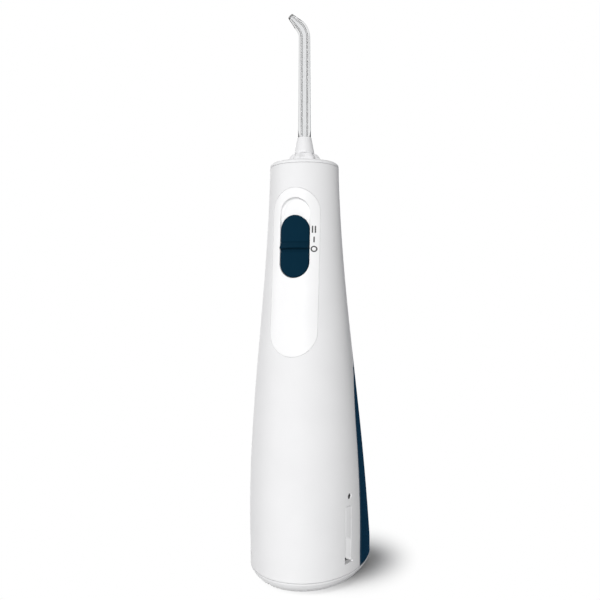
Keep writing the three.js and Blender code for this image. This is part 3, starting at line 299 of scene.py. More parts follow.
def filleted(corners: Sequence[tuple[float, float, float]], step: float) -> Array:
    """A closed outline with rounded corners and evenly divided straight runs.

    Args:
        corners: (u, z, radius) of each corner, in order.
        step: longest distance between neighbouring points.

    Returns:
        Points, (n, 2): each corner is an arc of its radius that touches both runs.
    """
    arcs = []
    for i, (u, z, radius) in enumerate(corners):
        here = np.array([u, z])
        before = unit(np.array(corners[i - 1][:2]) - here)
        after = unit(np.array(corners[(i + 1) % len(corners)][:2]) - here)
        half = math.acos(float(np.clip(before @ after, -1, 1))) / 2
        centre = here + unit(before + after) * radius / math.sin(half)
        start = here + before * radius / math.tan(half) - centre
        end = here + after * radius / math.tan(half) - centre
        first = math.atan2(start[1], start[0])
        turn = (math.atan2(end[1], end[0]) - first + math.pi) % (2 * math.pi) - math.pi
        count = max(4, math.ceil(abs(turn) * radius / step) + 1)
        angles = first + turn * np.linspace(0, 1, count)
        arcs.append(centre + radius * np.stack([np.cos(angles), np.sin(angles)], -1))
    parts = []
    for i, arc in enumerate(arcs):
        straight = run([arc[-1], arcs[(i + 1) % len(arcs)][0]], step)
        parts += [arc, straight[1:-1]]
    outline = np.vstack(parts)
    apart = np.linalg.norm(outline - np.roll(outline, 1, 0), axis=1) > APART
    return outline[apart]


def circle(u: float, z: float, radius: float, count: int = 24) -> Array:
    """A round outline: centre plus radius times (cos, sin)."""
    angles = np.linspace(0, 2 * np.pi, count, endpoint=False)
    return np.stack([u + radius * np.cos(angles), z + radius * np.sin(angles)], -1)


@dataclass(frozen=True)
class Stadium:
    """An upright outline with round ends, and its rings about the middle line."""

    half: float
    low: float
    high: float
    step: float = 0.7

    def ring(self, offset: float = 0.0) -> Array:
        """The outline moved out: m + (p - m) * (1 + offset / half), m being the nearest of the middle line."""
        angle = np.linspace(-np.pi, 0, 2 * math.ceil(self.half * math.pi / self.step / 2) + 1)
        arc = self.half * np.stack([np.cos(angle), np.sin(angle)], -1)
        low, high = self.low + self.half, self.high - self.half
        side = np.linspace(low, high, math.ceil((high - low) / self.step) + 1)[1:-1]
        edge = np.full_like(side, self.half)
        right, left = np.stack([edge, side], -1), np.stack([-edge, side[::-1]], -1)
        points = np.vstack([arc + (0, low), right, (0, high) - arc, left])
        middle = np.stack([np.zeros(len(points)), np.clip(points[:, 1], low, high)], -1)
        return middle + (points - middle) * (1 + offset / self.half)


def area_of(outline: Array) -> float:
    """Signed area of a closed outline: half the sum of cross products of neighbours."""
    after = np.roll(outline, -1, 0)
    return float(np.sum(outline[:, 0] * after[:, 1] - after[:, 0] * outline[:, 1]) / 2)


def grown(outline: Array, distance: float) -> Array:
    """A closed outline moved outwards, each point along the mitre of its two edges."""
    if distance == 0:
        return outline
    side = 1.0 if area_of(outline) > 0 else -1.0
    edge = unit(np.roll(outline, -1, 0) - outline)
    normal = side * np.stack([edge[:, 1], -edge[:, 0]], -1)
    mitre = unit(normal + np.roll(normal, 1, 0))
    reach = np.sum(mitre * normal, -1, keepdims=True)
    return outline + distance * mitre / np.maximum(reach, LEAST_MITRE)


def inside(points: Array, outline: Array) -> Array:
    """Whether plane points lie in a closed outline, by counting the edges to their right."""
    a = outline
    b = np.roll(outline, -1, 0)
    px, py = points[:, :1], points[:, 1:]
    crosses = (a[:, 1] > py) != (b[:, 1] > py)
    rise = np.where(b[:, 1] == a[:, 1], TINY, b[:, 1] - a[:, 1])
    at = a[:, 0] + (py - a[:, 1]) * (b[:, 0] - a[:, 0]) / rise
    return np.sum(crosses & (px < at), 1) % 2 == 1


def between(points: Array, loops: Sequence[Array]) -> Array:
    """Whether plane points lie in the first loop and in none of the others."""
    keep = inside(points, loops[0])
    for loop in loops[1:]:
        keep &= ~inside(points, loop)
    return keep


def spare(triangles: Array, thin: Array, rims: Array) -> Array:
    """Which thin triangles lie outside a straight rim, so that a rim edge has two triangles.

    Args:
        triangles: corner numbers.
        thin: whether a triangle has next to no area.
        rims: pairs of corner numbers of the rim edges.

    Returns:
        True for each triangle that is left out.
    """
    count = int(max(triangles.max(), rims.max())) + 1
    pairs = np.sort(np.stack([triangles, np.roll(triangles, -1, 1)], -1), -1)
    keys = pairs[..., 0] * count + pairs[..., 1]
    edge, where, times = np.unique(keys, return_inverse=True, return_counts=True)
    rim = np.sort(rims, -1)
    double = np.isin(edge, rim[:, 0] * count + rim[:, 1]) & (times > 1)
    return thin & double[where.reshape(keys.shape)].any(1)


def filled(loops: Sequence[Array], spacing: tuple[float, float]) -> tuple[Array, Array]:
    """Triangles that fill the region inside the first loop and outside the others.

    Args:
        loops: closed outlines in the plane, the outer one first.
        spacing: distance between inner points, across and up.

    Returns:
        All points, the loops' first and in order, and the triangles, turned anticlockwise.
    """
    low, high = loops[0].min(0), loops[0].max(0)
    count = np.maximum(np.ceil((high - low) / spacing).astype(int), 1)
    lines = [np.linspace(low[i], high[i], count[i] + 1)[1:-1] for i in (0, 1)]
    grid = np.stack(np.meshgrid(*lines, indexing="ij"), -1).reshape(-1, 2)
    grid = grid[between(grid, loops)]
    rims = np.vstack(loops)
    if len(grid):
        parts = np.array_split(grid, len(grid) // BATCH + 1)
        near = np.concatenate([np.linalg.norm(part[:, None] - rims, axis=-1).min(1) for part in parts])
        grid = grid[near > RIM_ROOM * min(spacing)]
    points = np.vstack([rims, grid])
    edges = []
    for i, loop in enumerate(loops):
        index = np.arange(len(loop)) + sum(len(v) for v in loops[:i])
        edges.append(np.stack([index, np.roll(index, -1)], -1))
    made = delaunay_2d_cdt([Vector(p) for p in points.tolist()], np.vstack(edges).tolist(), [], 0, MERGED, True)
    source = np.array([ids[0] if ids else -1 for ids in made[3]])
    triangles = source[np.array(made[2])]
    if (source < 0).any() or len(source) < len(points):
        LOG.warning("a fill met a crossing: %d of %d points kept", np.sum(source >= 0), len(points))
        triangles = triangles[(triangles >= 0).all(1)]
    triangles = triangles[between(points[triangles].mean(1), loops)]
    a, b, c = (points[triangles[:, i]] for i in range(3))
    turn = (b - a)[:, 0] * (c - a)[:, 1] - (b - a)[:, 1] * (c - a)[:, 0]
    triangles[turn < 0] = triangles[turn < 0][:, ::-1]
    return points, triangles[~spare(triangles, np.abs(turn) < NOTHING, np.vstack(edges))]


@dataclass
class Patch:
    """Part of a surface: points, their normals, and faces of four corners, triangles repeating the last."""

    points: Array
    normals: Array
    faces: Array
    look: "Look | None" = None


def grid_patch(points: Array, wrap: bool = False) -> Patch:
    """A patch from rows of points, with normals from the cross product of its two directions.

    Args:
        points: (rows, columns, 3).
        wrap: whether the last column joins the first.

    Returns:
        The patch; a row shrunk to one point takes its neighbours' mean normal.
    """
    rows, columns = points.shape[:2]
    down = np.gradient(points, axis=0)
    if wrap:
        over = (np.roll(points, -1, 1) - np.roll(points, 1, 1)) / 2
    else:
        over = np.gradient(points, axis=1)
    normals = unit(np.cross(down, over))
    for row, beside in ((0, 1), (rows - 1, rows - 2)):
        if np.ptp(points[row], axis=0).max() < NOTHING:
            normals[row] = unit(normals[beside].mean(0))
    index = np.arange(rows * columns).reshape(rows, columns)
    right = np.roll(index, -1, 1) if wrap else index[:, 1:]
    left = index if wrap else index[:, :-1]
    faces = np.stack([left[:-1], left[1:], right[1:], right[:-1]], -1).reshape(-1, 4)
    return Patch(points.reshape(-1, 3), normals.reshape(-1, 3), faces)


def fill_patch(loops: Sequence[Loop], spacing: tuple[float, float], lift: Callable[[Array], Array]) -> Patch:
    """A filled region lifted into space, bounded by exact points.

    Args:
        loops: plane outlines with their points in space, the outer one first.
        spacing: distance between inner points.
        lift: maps plane points to points in space.

    Returns:
        The patch, with normals from small steps of the lift.
    """
    flat, triangles = filled([loop[0] for loop in loops], spacing)
    known = np.vstack([loop[1] for loop in loops])
    step = 0.01
    along = lift(flat + (step, 0)) - lift(flat - (step, 0))
    up = lift(flat + (0, step)) - lift(flat - (0, step))
    faces = np.concatenate([triangles, triangles[:, 2:]], 1)
    return Patch(np.vstack([known, lift(flat[len(known) :])]), unit(np.cross(along, up)), faces)


def level_patch(loops: Sequence[Array], spacing: float) -> Patch:
    """A flat, level face inside the first of some loops of points, and outside the others."""
    z = loops[0][0, 2]
    return fill_patch([(v[:, :2], v) for v in loops], (spacing, spacing), lambda p: np.insert(p, 2, z, 1))


class Shape:
    """Closed surfaces gathered from patches."""

    def __init__(self) -> None:
        """Starts with no patches."""
        self.patches: list[Patch] = []

    def add(self, *patches: Patch) -> "Shape":
        """Adds patches and returns the shape."""
        self.patches += patches
        return self

    def grid(self, points: Array, wrap: bool = False, look: "Look | None" = None) -> "Shape":
        """Adds a grid of points as a patch, with a finish of its own if given, and returns the shape."""
        made = grid_patch(points, wrap)
        made.look = look
        return self.add(made)

    def slab(self, front: Array, back: Array, look: "Look | None" = None) -> "Shape":
        """Adds a plate between two grids of one shape, closed round its rim, with its own finish if given."""
        rims = [np.concatenate([g[0], g[1:, -1], g[-1, -2::-1], g[-2:0:-1, 0]]) for g in (front, back)]
        return self.grid(front, look=look).grid(back, look=look).grid(np.stack(rims), wrap=True, look=look)

    def plate(self, loops: Sequence[Array], lifts: Sequence[Callable[[Array], Array]], spacing: float) -> "Shape":
        """Adds a plate between two lifts of one plane region, closed round its loops, and returns the shape."""
        for lift in lifts:
            self.add(fill_patch([(v, lift(v)) for v in loops], (spacing, spacing), lift))
        for loop in loops:
            self.grid(np.stack([lift(loop) for lift in lifts]), wrap=True)
        return self

    def make(self, name: str, body: str, look: "Look", slot: str, *nodes: str) -> bpy.types.Object:
        """Welds the patches into an object that rides on a body.

        Args:
            name: the object's name.
            body: the body that carries it.
            look: its finish.
            slot: the record's material slot; not used.
            nodes: the frame's nodes that it stands for.

        Returns:
            The object, with faces outwards and each patch's own normals at its corners.
        """
        points = np.vstack([p.points for p in self.patches])
        normals = np.vstack([p.normals for p in self.patches])
        starts = np.cumsum([0] + [len(p.points) for p in self.patches[:-1]])
        corners = np.vstack([p.faces + start for p, start in zip(self.patches, starts)])
        keys = np.round(points / WELD).astype(np.int64)
        _, first, to = np.unique(keys, axis=0, return_index=True, return_inverse=True)
        to = to.reshape(-1)
        places = (points[first] + (0, tip_axis_y(), 0)) * MM
        looks = list(dict.fromkeys([look, *(p.look or look for p in self.patches)]))
        kinds = np.repeat([looks.index(p.look or look) for p in self.patches], [len(p.faces) for p in self.patches])
        faces = []
        shading = []
        finishes = []
        for quad, kind in zip(corners.tolist(), kinds.tolist()):
            ids = [c for k, c in enumerate(quad) if to[c] != to[quad[k - 1]]]
            if len({int(to[c]) for c in ids}) == len(ids) > 2:
                faces.append([int(to[c]) for c in ids])
                shading.append(ids)
                finishes.append(kind)
        mesh = bpy.data.meshes.new(name)
        mesh.from_pydata(places.tolist(), [], faces)
        flipped = outward_flips(mesh, name)
        for i in np.flatnonzero(flipped):
            faces[i] = faces[i][::-1]
            shading[i] = shading[i][::-1]
        mesh.clear_geometry()
        mesh.from_pydata(places.tolist(), [], faces)
        mesh.shade_smooth()
        counts = [len(f) for f in faces]
        wanted = normals[np.concatenate(shading)] * np.repeat(np.where(flipped, -1.0, 1.0), counts)[:, None]
        flat = np.zeros(len(faces) * 3)
        mesh.polygons.foreach_get("normal", flat)
        facing = np.repeat(flat.reshape(-1, 3), counts, axis=0)
        astray = np.sum(wanted * facing, -1) < LEAST_FACING
        wanted[astray] = facing[astray]
        mesh.normals_split_custom_set(wanted.tolist())
        mesh.polygons.foreach_set("material_index", finishes)
        for each in looks:
            mesh.materials.append(each.material())
        made = bpy.data.objects.new(name, mesh)
        bpy.context.scene.collection.objects.link(made)
        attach(made, body)
        if nodes:
            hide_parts(*nodes)
        LOG.info("%s: %d faces, %d corners shaded flat", name, len(faces), int(astray.sum()))
        return made


def outward_flips(mesh: bpy.types.Mesh, name: str) -> Array:
    """Which faces of a closed mesh have to be turned round so that all face outwards."""
    work = bmesh.new()
    work.from_mesh(mesh)
    open_edges = sum(1 for e in work.edges if len(e.link_faces) != 2)
    if open_edges:
        LOG.warning("%s has %d edges without two faces", name, open_edges)
    before = np.array([tuple(f.normal) for f in work.faces])
    bmesh.ops.recalc_face_normals(work, faces=work.faces)
    work.normal_update()
    after = np.array([tuple(f.normal) for f in work.faces])
    work.free()
    return np.sum(before * after, -1) < 0


@dataclass
class Rim:
    """An edge of a skin: its outline, how it lies, and how far it is rounded."""

    outline: Array
    facing: Facing
    hole: bool = True
    radius: float = 0.3
    steps: int = 4


@dataclass
class Skin:
    """A wall that follows the body's form, cut out by rims."""

    form: BodyForm
    centre: float
    depth: float = 0.0
    rims: list[Rim] = field(default_factory=list)
    spacing: tuple[float, float] = (1.6, 2.6)

    def placed(self, rim: Rim, offset: float, inset: float) -> Array:
        """Points of a rim moved into the material, at an inset."""
        flat = grown(rim.outline, offset if rim.hole else -offset)
        u, z = flat[:, 0], flat[:, 1]
        if rim.facing in (Facing.AHEAD, Facing.BEHIND):
            return self.form.across(u, z, inset, rim.facing is Facing.AHEAD)
        if rim.facing in (Facing.RIGHT, Facing.LEFT):
            return self.form.beside(u, z, inset, rim.facing is Facing.RIGHT)
        return self.form.surface(self.centre + u / self.form.round_scale, z, inset)

    def loop(self, rim: Rim, offset: float, inset: float) -> Loop:
        """A rim's points, unrolled as (length round the body, height) and in space."""
        points = self.placed(rim, offset, inset)
        turn = self.form.angle_of(points, self.centre, inset)
        return np.stack([turn * self.form.round_scale, points[:, 2]], -1), points

    def lift(self, inset: float) -> Callable[[Array], Array]:
        """The map from unrolled points to points at an inset."""
        return lambda flat: self.form.surface(self.centre + flat[:, 0] / self.form.round_scale, flat[:, 1], inset)

    def face(self, inset: float, loops: Sequence[Loop]) -> Patch:
        """The skin's filled face at an inset, bounded by loops."""
        return fill_patch(loops, self.spacing, self.lift(inset))

    def outer(self, rims: Sequence[Rim]) -> Patch:
        """The outer face, up to where each rim starts to round."""
        return self.face(0.0, [self.loop(rim, rim.radius, 0.0) for rim in rims])

    def rounding(self, rim: Rim) -> list[Array]:
        """Rows over a rim's edge: offset r(1 - sin a) and inset r(1 - cos a), a from 0 to a right angle."""
        angles = np.linspace(0, np.pi / 2, rim.steps + 1)
        return [self.placed(rim, rim.radius * (1 - math.sin(a)), rim.radius * (1 - math.cos(a))) for a in angles]

    def shape(self) -> Shape:
        """The closed wall: outer face, rounded edges, walls and inner face."""
        made = Shape().add(self.outer(self.rims))
        made.add(self.face(self.depth, [self.loop(rim, 0.0, self.depth) for rim in self.rims]))
        for rim in self.rims:
            made.grid(np.stack([*self.rounding(rim), self.placed(rim, 0.0, self.depth)]), wrap=True)
        return made


def softened(profile: Sequence[tuple[float, float, float]], steps: int = 4) -> list[tuple[float, float]]:
    """An open profile with rounded corners, each a short parabola between its two runs.

    Args:
        profile: (r, z, radius) of each corner; a radius of 0 keeps it crisp.
        steps: steps of each corner.

    Returns:
        The points.
    """
    out: list[tuple[float, float]] = [profile[0][:2]]
    for before, here, after in zip(profile[:-2], profile[1:-1], profile[2:]):
        corner = np.array(here[:2])
        back, on = unit(np.array(before[:2]) - corner), unit(np.array(after[:2]) - corner)
        half = math.acos(float(np.clip(back @ on, -1, 1))) / 2
        reach = max(here[2], LEAST_ROUND) / math.tan(half)
        share = np.linspace(0, 1, steps + 1)[:, None]
        curve = (1 - share) ** 2 * (corner + back * reach) + 2 * share * (1 - share) * corner
        out += [tuple(p) for p in (curve + share**2 * (corner + on * reach)).tolist()]
    return out + [profile[-1][:2]]


def turned(profile: Sequence[tuple[float, float]], count: int = 96, swell: Callable | None = None) -> Array:
    """A profile turned about the tip's axis.

    Args:
        profile: (radius, height) points, in order.
        count: points round the axis.
        swell: optional share by which a radius grows, of (radius, height, angle).

    Returns:
        Rows of points: (r cos a, r sin a, z).
    """
    angle = np.linspace(0, 2 * np.pi, count, endpoint=False)
    r, z = (np.array(v)[:, None] + 0 * angle for v in zip(*profile))
    if swell:
        r = r * (1 + swell(r, z, angle))
    return np.stack([r * np.cos(angle), r * np.sin(angle), z], -1)


class Shader:
    """A node tree under construction."""

    def __init__(self, name: str) -> None:
        """Starts a material with a Principled BSDF and object coordinates."""
        self.material = bpy.data.materials.new(name)
        self.material.use_nodes = True
        self.tree = self.material.node_tree
        self.surface = self.tree.nodes["Principled BSDF"]
        self.place = self.tree.nodes.new("ShaderNodeTexCoord").outputs["Object"]

    def node(self, kind: str, **values: float) -> bpy.types.Node:
        """Adds a node and sets inputs by name."""
        made = self.tree.nodes.new(kind)
        for key, value in values.items():
            made.inputs[key.replace("_", " ").title()].default_value = value
        return made

    def link(self, output: bpy.types.NodeSocket, target: bpy.types.NodeSocket) -> None:
        """Joins two sockets."""
        self.tree.links.new(output, target)

    def noise(self, scale: float, detail: float, stretch: tuple[float, float, float]) -> bpy.types.NodeSocket:
        """Noise over the object: scale in cycles per metre, multiplied along each axis by the stretch."""
        mapping = self.node("ShaderNodeMapping", Scale=stretch)
        self.link(self.place, mapping.inputs["Vector"])
        made = self.node("ShaderNodeTexNoise", Scale=scale, Detail=detail)
        self.link(mapping.outputs["Vector"], made.inputs["Vector"])
        return made.outputs["Fac"]

    def spread(self, value: bpy.types.NodeSocket, low: float, high: float) -> bpy.types.NodeSocket:
        """A noise value spread between two limits."""
        first, last = NOISE_SPAN
        made = self.node("ShaderNodeMapRange", from_min=first, from_max=last, to_min=low, to_max=high)
        self.link(value, made.inputs["Value"])
        return made.outputs["Result"]

    def tinted(self, value: bpy.types.NodeSocket, dark: Sequence[float], light: Sequence[float]) -> None:
        """Sets the base colour to a mix of two colours by a noise value."""
        ramp = self.node("ShaderNodeValToRGB")
        for element, position, color in zip(ramp.color_ramp.elements, NOISE_SPAN, (dark, light)):
            element.position = position
            element.color = (*color, 1)
        self.link(value, ramp.inputs["Fac"])
        self.link(ramp.outputs["Color"], self.surface.inputs["Base Color"])

    def edge(self, span: tuple[float, float], last: float) -> bpy.types.NodeSocket:
        """A value of 1 where a wall faces the ray, eased to a last value where the ray grazes it.

        Args:
            span: shares of facing between which it changes.
            last: value at the edge.

        Returns:
            The value.
        """
        facing = self.node("ShaderNodeLayerWeight", Blend=0.5)
        fade = self.node("ShaderNodeMapRange", from_min=span[0], from_max=span[1], to_min=1.0, to_max=last)
        fade.interpolation_type = "SMOOTHSTEP"
        self.link(facing.outputs["Facing"], fade.inputs["Value"])
        return fade.outputs["Result"]

    def darkened(self, share: bpy.types.NodeSocket) -> None:
        """Multiplies the base colour by a share: painted shade wherever the share is below 1."""
        scale = self.tree.nodes.new("ShaderNodeVectorMath")
        scale.operation = "SCALE"
        base = self.surface.inputs["Base Color"]
        self.link(base.links[0].from_socket, scale.inputs[0])
        self.link(share, scale.inputs["Scale"])
        self.link(scale.outputs["Vector"], base)

    def bumped(self, value: bpy.types.NodeSocket, strength: float, depth: float) -> None:
        """Bumps the surface by a value, over a depth in millimetres."""
        made = self.node("ShaderNodeBump", strength=strength, distance=depth * MM)
        self.link(value, made.inputs["Height"])
        self.link(made.outputs["Normal"], self.surface.inputs["Normal"])


@dataclass(frozen=True)
class Finish:
    """A finish: colour, gloss, and the small unevenness that a mould or a tool leaves."""

    name: str
    color: tuple[float, float, float]
    roughness: float
    metallic: float = 0.0
    coat: float = 0.0
    coat_roughness: float = 0.05
    transmission: float = 0.0
    ior: float = 1.5
    specular: float = 0.5
    # Share of the base colour left where the ray grazes a wall: painted shade for the dark lines that refraction
    # draws at a clear tube's edges.
    grazing_shade: float = 1.0
    # Share of transmission left where the ray grazes, so that the painted dark colour shows there.
    edge_clear: float = 1.0
    edge_span: tuple[float, float] = (0.5, 1.0)
    tint_share: float = 0.03
    gloss_spread: float = 0.05
    grain: float = 900.0
    tint_grain: float = 45.0
    gloss_grain: float = 160.0
    grain_depth: float = 0.02
    grain_strength: float = 0.15
    stretch: tuple[float, float, float] = (1, 1, 1)

    def make(self) -> bpy.types.Material:
        """The material: noise in colour, roughness and height, all on object coordinates."""
        shader = Shader(self.name)
        inputs = shader.surface.inputs
        inputs["Metallic"].default_value = self.metallic
        inputs["IOR"].default_value = self.ior
        inputs["Coat Weight"].default_value = self.coat
        inputs["Coat Roughness"].default_value = self.coat_roughness
        inputs["Specular IOR Level"].default_value = self.specular
        inputs["Transmission Weight"].default_value = self.transmission
        dark = tuple(c * (1 - self.tint_share) for c in self.color)
        shader.tinted(shader.noise(self.tint_grain, 2.0, self.stretch), dark, self.color)
        # Painted shade: the base colour darkens, and the glass turns less clear, where the ray grazes a wall.
        if self.grazing_shade < 1:
            shader.darkened(shader.edge(self.edge_span, self.grazing_shade))
        if self.edge_clear < 1:
            clear = shader.edge(self.edge_span, self.edge_clear * self.transmission)
            shader.link(clear, inputs["Transmission Weight"])
        low, high = self.roughness - self.gloss_spread / 2, self.roughness + self.gloss_spread / 2
        gloss = shader.spread(shader.noise(self.gloss_grain, 4.0, self.stretch), low, high)
        shader.link(gloss, inputs["Roughness"])
        shader.bumped(shader.noise(self.grain, 4.0, self.stretch), self.grain_strength, self.grain_depth)
        return shader.material


class Look(Enum):
    """The flosser's finishes."""

    SHELL = Finish("satin_white_plastic", (0.86, 0.86, 0.868), 0.45, specular=0.2)
    PANEL = Finish("gloss_white_plastic", (0.95, 0.95, 0.955), 0.2, coat=0.3, grain_strength=0.05)
    CAP = Finish("satin_white_cap", (0.87, 0.87, 0.878), 0.4, specular=0.2)
    TIP = Finish("milky_white_plastic", (0.85, 0.85, 0.86), 0.4, specular=0.2)
    NAVY = Finish(
        "smoked_navy_plastic", (0.006, 0.038, 0.076), 0.08, specular=0.25, tint_share=0.12, grain_strength=0.06
    )
    SLIDER = Finish("satin_navy_plastic", (0.0035, 0.024, 0.046), 0.42, specular=0.015, tint_share=0.1)
    # Clear plastic whose grazing edges carry painted shade in place of the dark refraction lines.
    CLEAR = Finish(
        "clear_plastic",
        (0.87, 0.875, 0.88),
        0.0,
        transmission=1.0,
        ior=1.49,
        grazing_shade=0.45,
        edge_span=(0.2, 0.75),
        tint_share=0.01,
        gloss_spread=0.0,
        grain_strength=0.0,
    )
    BORE = replace(
        CLEAR, name="clear_plastic_bore", specular=0.0, grazing_shade=0.2, edge_clear=0.2, edge_span=(0.3, 0.42)
    )
    MARK = Finish("grey_pad_print", (0.065, 0.065, 0.067), 0.5)
    INNER = Finish("light_grey_plastic", (0.55, 0.57, 0.59), 0.5)
    # Mid grey that paints the shade inside the release tab's finger notch.
    CARRIER = Finish("painted_notch_shade_grey", (0.42, 0.42, 0.425), 0.5, specular=0.2)
    SEAL = Finish("black_rubber", (0.012, 0.012, 0.013), 0.7, grain=1500.0)
    STEEL = Finish("brushed_steel", (0.6, 0.61, 0.62), 0.3, metallic=1.0, stretch=(1, 1, 12), grain_strength=0.3)
    BRASS = Finish("plain_brass", (0.62, 0.42, 0.14), 0.32, metallic=1.0, tint_share=0.15)
    CELL = Finish("cell_wrap", (0.05, 0.055, 0.06), 0.3, coat=0.4, tint_share=0.2)
    BOARD = Finish("green_board", (0.01, 0.09, 0.045), 0.4, coat=0.3, tint_share=0.25)
    HOSE = Finish("soft_pale_hose", (0.62, 0.63, 0.64), 0.45)

    def material(self) -> bpy.types.Material:
        """The finish's material, made once."""
        return bpy.data.materials.get(self.value.name) or self.value.make()


@dataclass
class HandleShells:
    """The white shells, the cap and the foot."""

    form: BodyForm
    bay: BayLine
    panel_opening: Stadium = Stadium(12.24, 113.46, 197.44)
    window_front: float = -13.15
    window_back: float = -9.02
    window_low: float = 10.8
    window_high: float = 39.15
    window_step: float = 1.25
    notch_reach: float = -6.2
    notch_depth: float = 0.8
    notch_overlap: float = 0.3
    lip_start: float = 2.9
    lip_most: float = 1.5
    lip_least: float = 0.9
    lip_sunk: float = 0.4
    plate: float = 0.3
    arm_slant: float = 0.437
    vent: tuple[float, float, float] = (-10.1, 43.9, 1.4)
    vent_depth: float = 0.55
    vent_overlap: float = 0.1
    bay_wall: float = 2.0
    blunt: float = 2.0
    tube_y: float = -4.0
    tube_room: float = 18.0
    tube_top: float = 62.7
    port: tuple[float, float, float] = (13.96, 70.2, 5.5)
    screws: tuple[tuple[float, float], ...] = ((24.2, 50.0), (21.0, 92.0))
    screw_hole: float = 2.3
    cap_low: float = 207.5
    cap_seat: float = 209.9
    cap_top: float = 212.0
    cap_hole: float = 6.0
    foot_height: float = 5.36
    door_room: float = 17.35
    hinge_room: tuple[float, float] = (7.85, 16.75)
    notch: tuple[float, float, float, float] = (-11.6, 1.0, 1.2, 6.7)

    def front_rim(self) -> Array:
        """The front shell's outline, unrolled: up the right seam, over the top and down the left."""
        kink = float(self.bay.height_at(np.array(self.bay.seam_y - self.bay.gap), -self.bay.gap))
        z = np.unique([*np.linspace(self.form.shell_low, self.form.shell_high, 110), self.bay.straight_top, kink])
        y = np.minimum(self.bay.at(z, -self.bay.gap), self.bay.seam_y - self.bay.gap)
        u = self.form.angle_of(self.form.beside(y, z, 0.0, True), FRONT, 0.0) * self.form.round_scale
        path = [np.stack([u, z], -1), run([(u[-1], z[-1]), (-u[-1], z[-1])], 1.0)[1:-1]]
        return np.vstack([*path, np.stack([-u[::-1], z[::-1]], -1), run([(-u[0], z[0]), (u[0], z[0])], 1.0)[1:-1]])

    def window(self) -> Array:
        """The release tab's slot in (y, z), with its wedge-shaped finger notch at the foot."""
        corners = [
            (self.window_front, self.window_low, 0.3),
            (self.notch_reach, self.window_low, 0.25),
            (self.window_back, self.window_low + self.window_step, 0.5),
            (self.window_back, self.window_high, 0.6),
            (self.window_front, self.window_high, 0.6),
        ]
        return filleted(corners, step=0.7)

    def front_shell(self) -> bpy.types.Object:
        """The front shell with its panel opening, tab slots and vents."""
        rims = [Rim(self.front_rim(), Facing.AROUND, hole=False, radius=0.4)]
        rims.append(Rim(self.panel_opening.ring(), Facing.AHEAD, radius=0.15))
        for facing in (Facing.RIGHT, Facing.LEFT):
            rims.append(Rim(self.window(), facing, radius=0.15))
            rims.append(Rim(circle(*self.vent), facing, radius=0.2))
        made = Skin(self.form, FRONT, self.form.wall, rims).shape()
        for right in (True, False):
            made.add(*self.notch_floor(right).patches)
        return made.make("front_shell_skin", "handle", Look.SHELL, "shell", "front_shell")

    def notch_floor(self, right: bool) -> Shape:
        """A shallow floor behind the finger notch: a plate under the arm's slanted foot, coloured mid grey to paint
        the shade inside the notch.
        """
        y = np.linspace(self.window_front - self.notch_overlap, self.notch_reach + self.notch_overlap, 20)[None, :]
        slope = self.lip_start - self.arm_slant * (y - self.window_front)
        top = self.window_low + np.clip(slope, self.lip_least, self.lip_most)
        foot = self.window_low - self.lip_sunk
        z = foot + (top - foot) * np.linspace(0, 1, 8)[:, None]
        depths = (self.notch_depth, self.notch_depth + self.plate)
        plates = [self.form.beside(y + 0 * z, z, np.full_like(z, depth), right) for depth in depths]
        return Shape().slab(*plates, look=Look.CARRIER)

    def vent_shade_disc(self, right: bool) -> bpy.types.Object:
        """A black disc in a vent that paints the shade inside it: two round faces joined at the rim, just under the
        surface.
        """
        y, z, radius = self.vent
        depths = (self.vent_depth, self.vent_depth + self.plate)
        lifts = [lambda p, d=d: self.form.beside(p[:, 0], p[:, 1], d, right) for d in depths]
        made = Shape().plate([circle(y, z, radius + self.vent_overlap)], lifts, spacing=0.6)
        return made.make(f"vent_shade_disc_{'right' if right else 'left'}", "handle", Look.SEAL, "seal")

    def upper_back_rim(self) -> Array:
        """The upper back's outline, unrolled: along the bay's arc, then up both seams and over the top."""
        seam = self.bay.seam_y + self.bay.gap
        foot = float(self.bay.height_at(np.array(seam), -self.bay.gap)) + self.blunt
        z = np.linspace(foot, self.form.shell_high, 60)
        right = self.form.beside(np.full_like(z, seam), z, 0.0, True)
        u = self.form.angle_of(right, BACK, 0.0) * self.form.round_scale
        tip = self.form.beside(self.bay.at(z[:1], -self.bay.gap), z[:1], 0.0, True)
        first = float(self.form.angle_of(tip, BACK, 0.0)[0])
        angle = np.linspace(first, -first, 90)
        arc = self.bay.over(self.form, BACK + angle, -self.bay.gap, 0.0)[:, 2]
        arc = np.stack([angle * self.form.round_scale, arc], -1)
        top = run([(-u[-1], z[-1]), (u[-1], z[-1])], 1.0)[1:-1]
        return np.vstack([arc, np.stack([-u, z], -1), top, np.stack([u, z], -1)[::-1]])

    def bay_plate(self) -> Shape:
        """The bay wall: a plate on the bay line, open for the cell tube, the port and the screws."""
        path, _ = self.bay.rim(self.form, -self.bay.gap, self.form.wall + 0.05, self.form.shell_low)
        half = math.sqrt(self.tube_room**2 - (self.bay.y - self.tube_y) ** 2)
        low = self.form.shell_low
        arch = [(-half, low), (-half, self.tube_top), (half, self.tube_top), (half, low)]
        foot = run([(path[-1, 0], low), *arch, (path[0, 0], low)], 2.0)[1:-1]
        loops = [np.vstack([path[:, (0, 2)], foot]), circle(*self.port, 40)]
        loops += [circle(side * x, z, self.screw_hole) for side in (-1, 1) for x, z in self.screws]
        lifts = [self.bay.lift(-self.bay.gap - depth) for depth in (0.0, self.bay_wall)]
        return Shape().plate(loops, lifts, spacing=2.5)

    def rear_shell(self) -> bpy.types.Object:
        """The upper back, and the bay wall behind which the tank sits."""
        skin = Skin(self.form, BACK, self.form.wall, [Rim(self.upper_back_rim(), Facing.AROUND, False, 0.2)])
        made = skin.shape().add(*self.bay_plate().patches)
        return made.make("rear_shell_skin", "handle", Look.SHELL, "shell", "rear_shell")

    def rings(self, levels: Sequence[tuple[float, float]], count: int) -> Array:
        """Rows round the body at (inset, height) levels."""
        angle = np.linspace(-np.pi, np.pi, count, endpoint=False)
        return np.stack([self.form.surface(angle, np.full_like(angle, z), inset) for inset, z in levels])

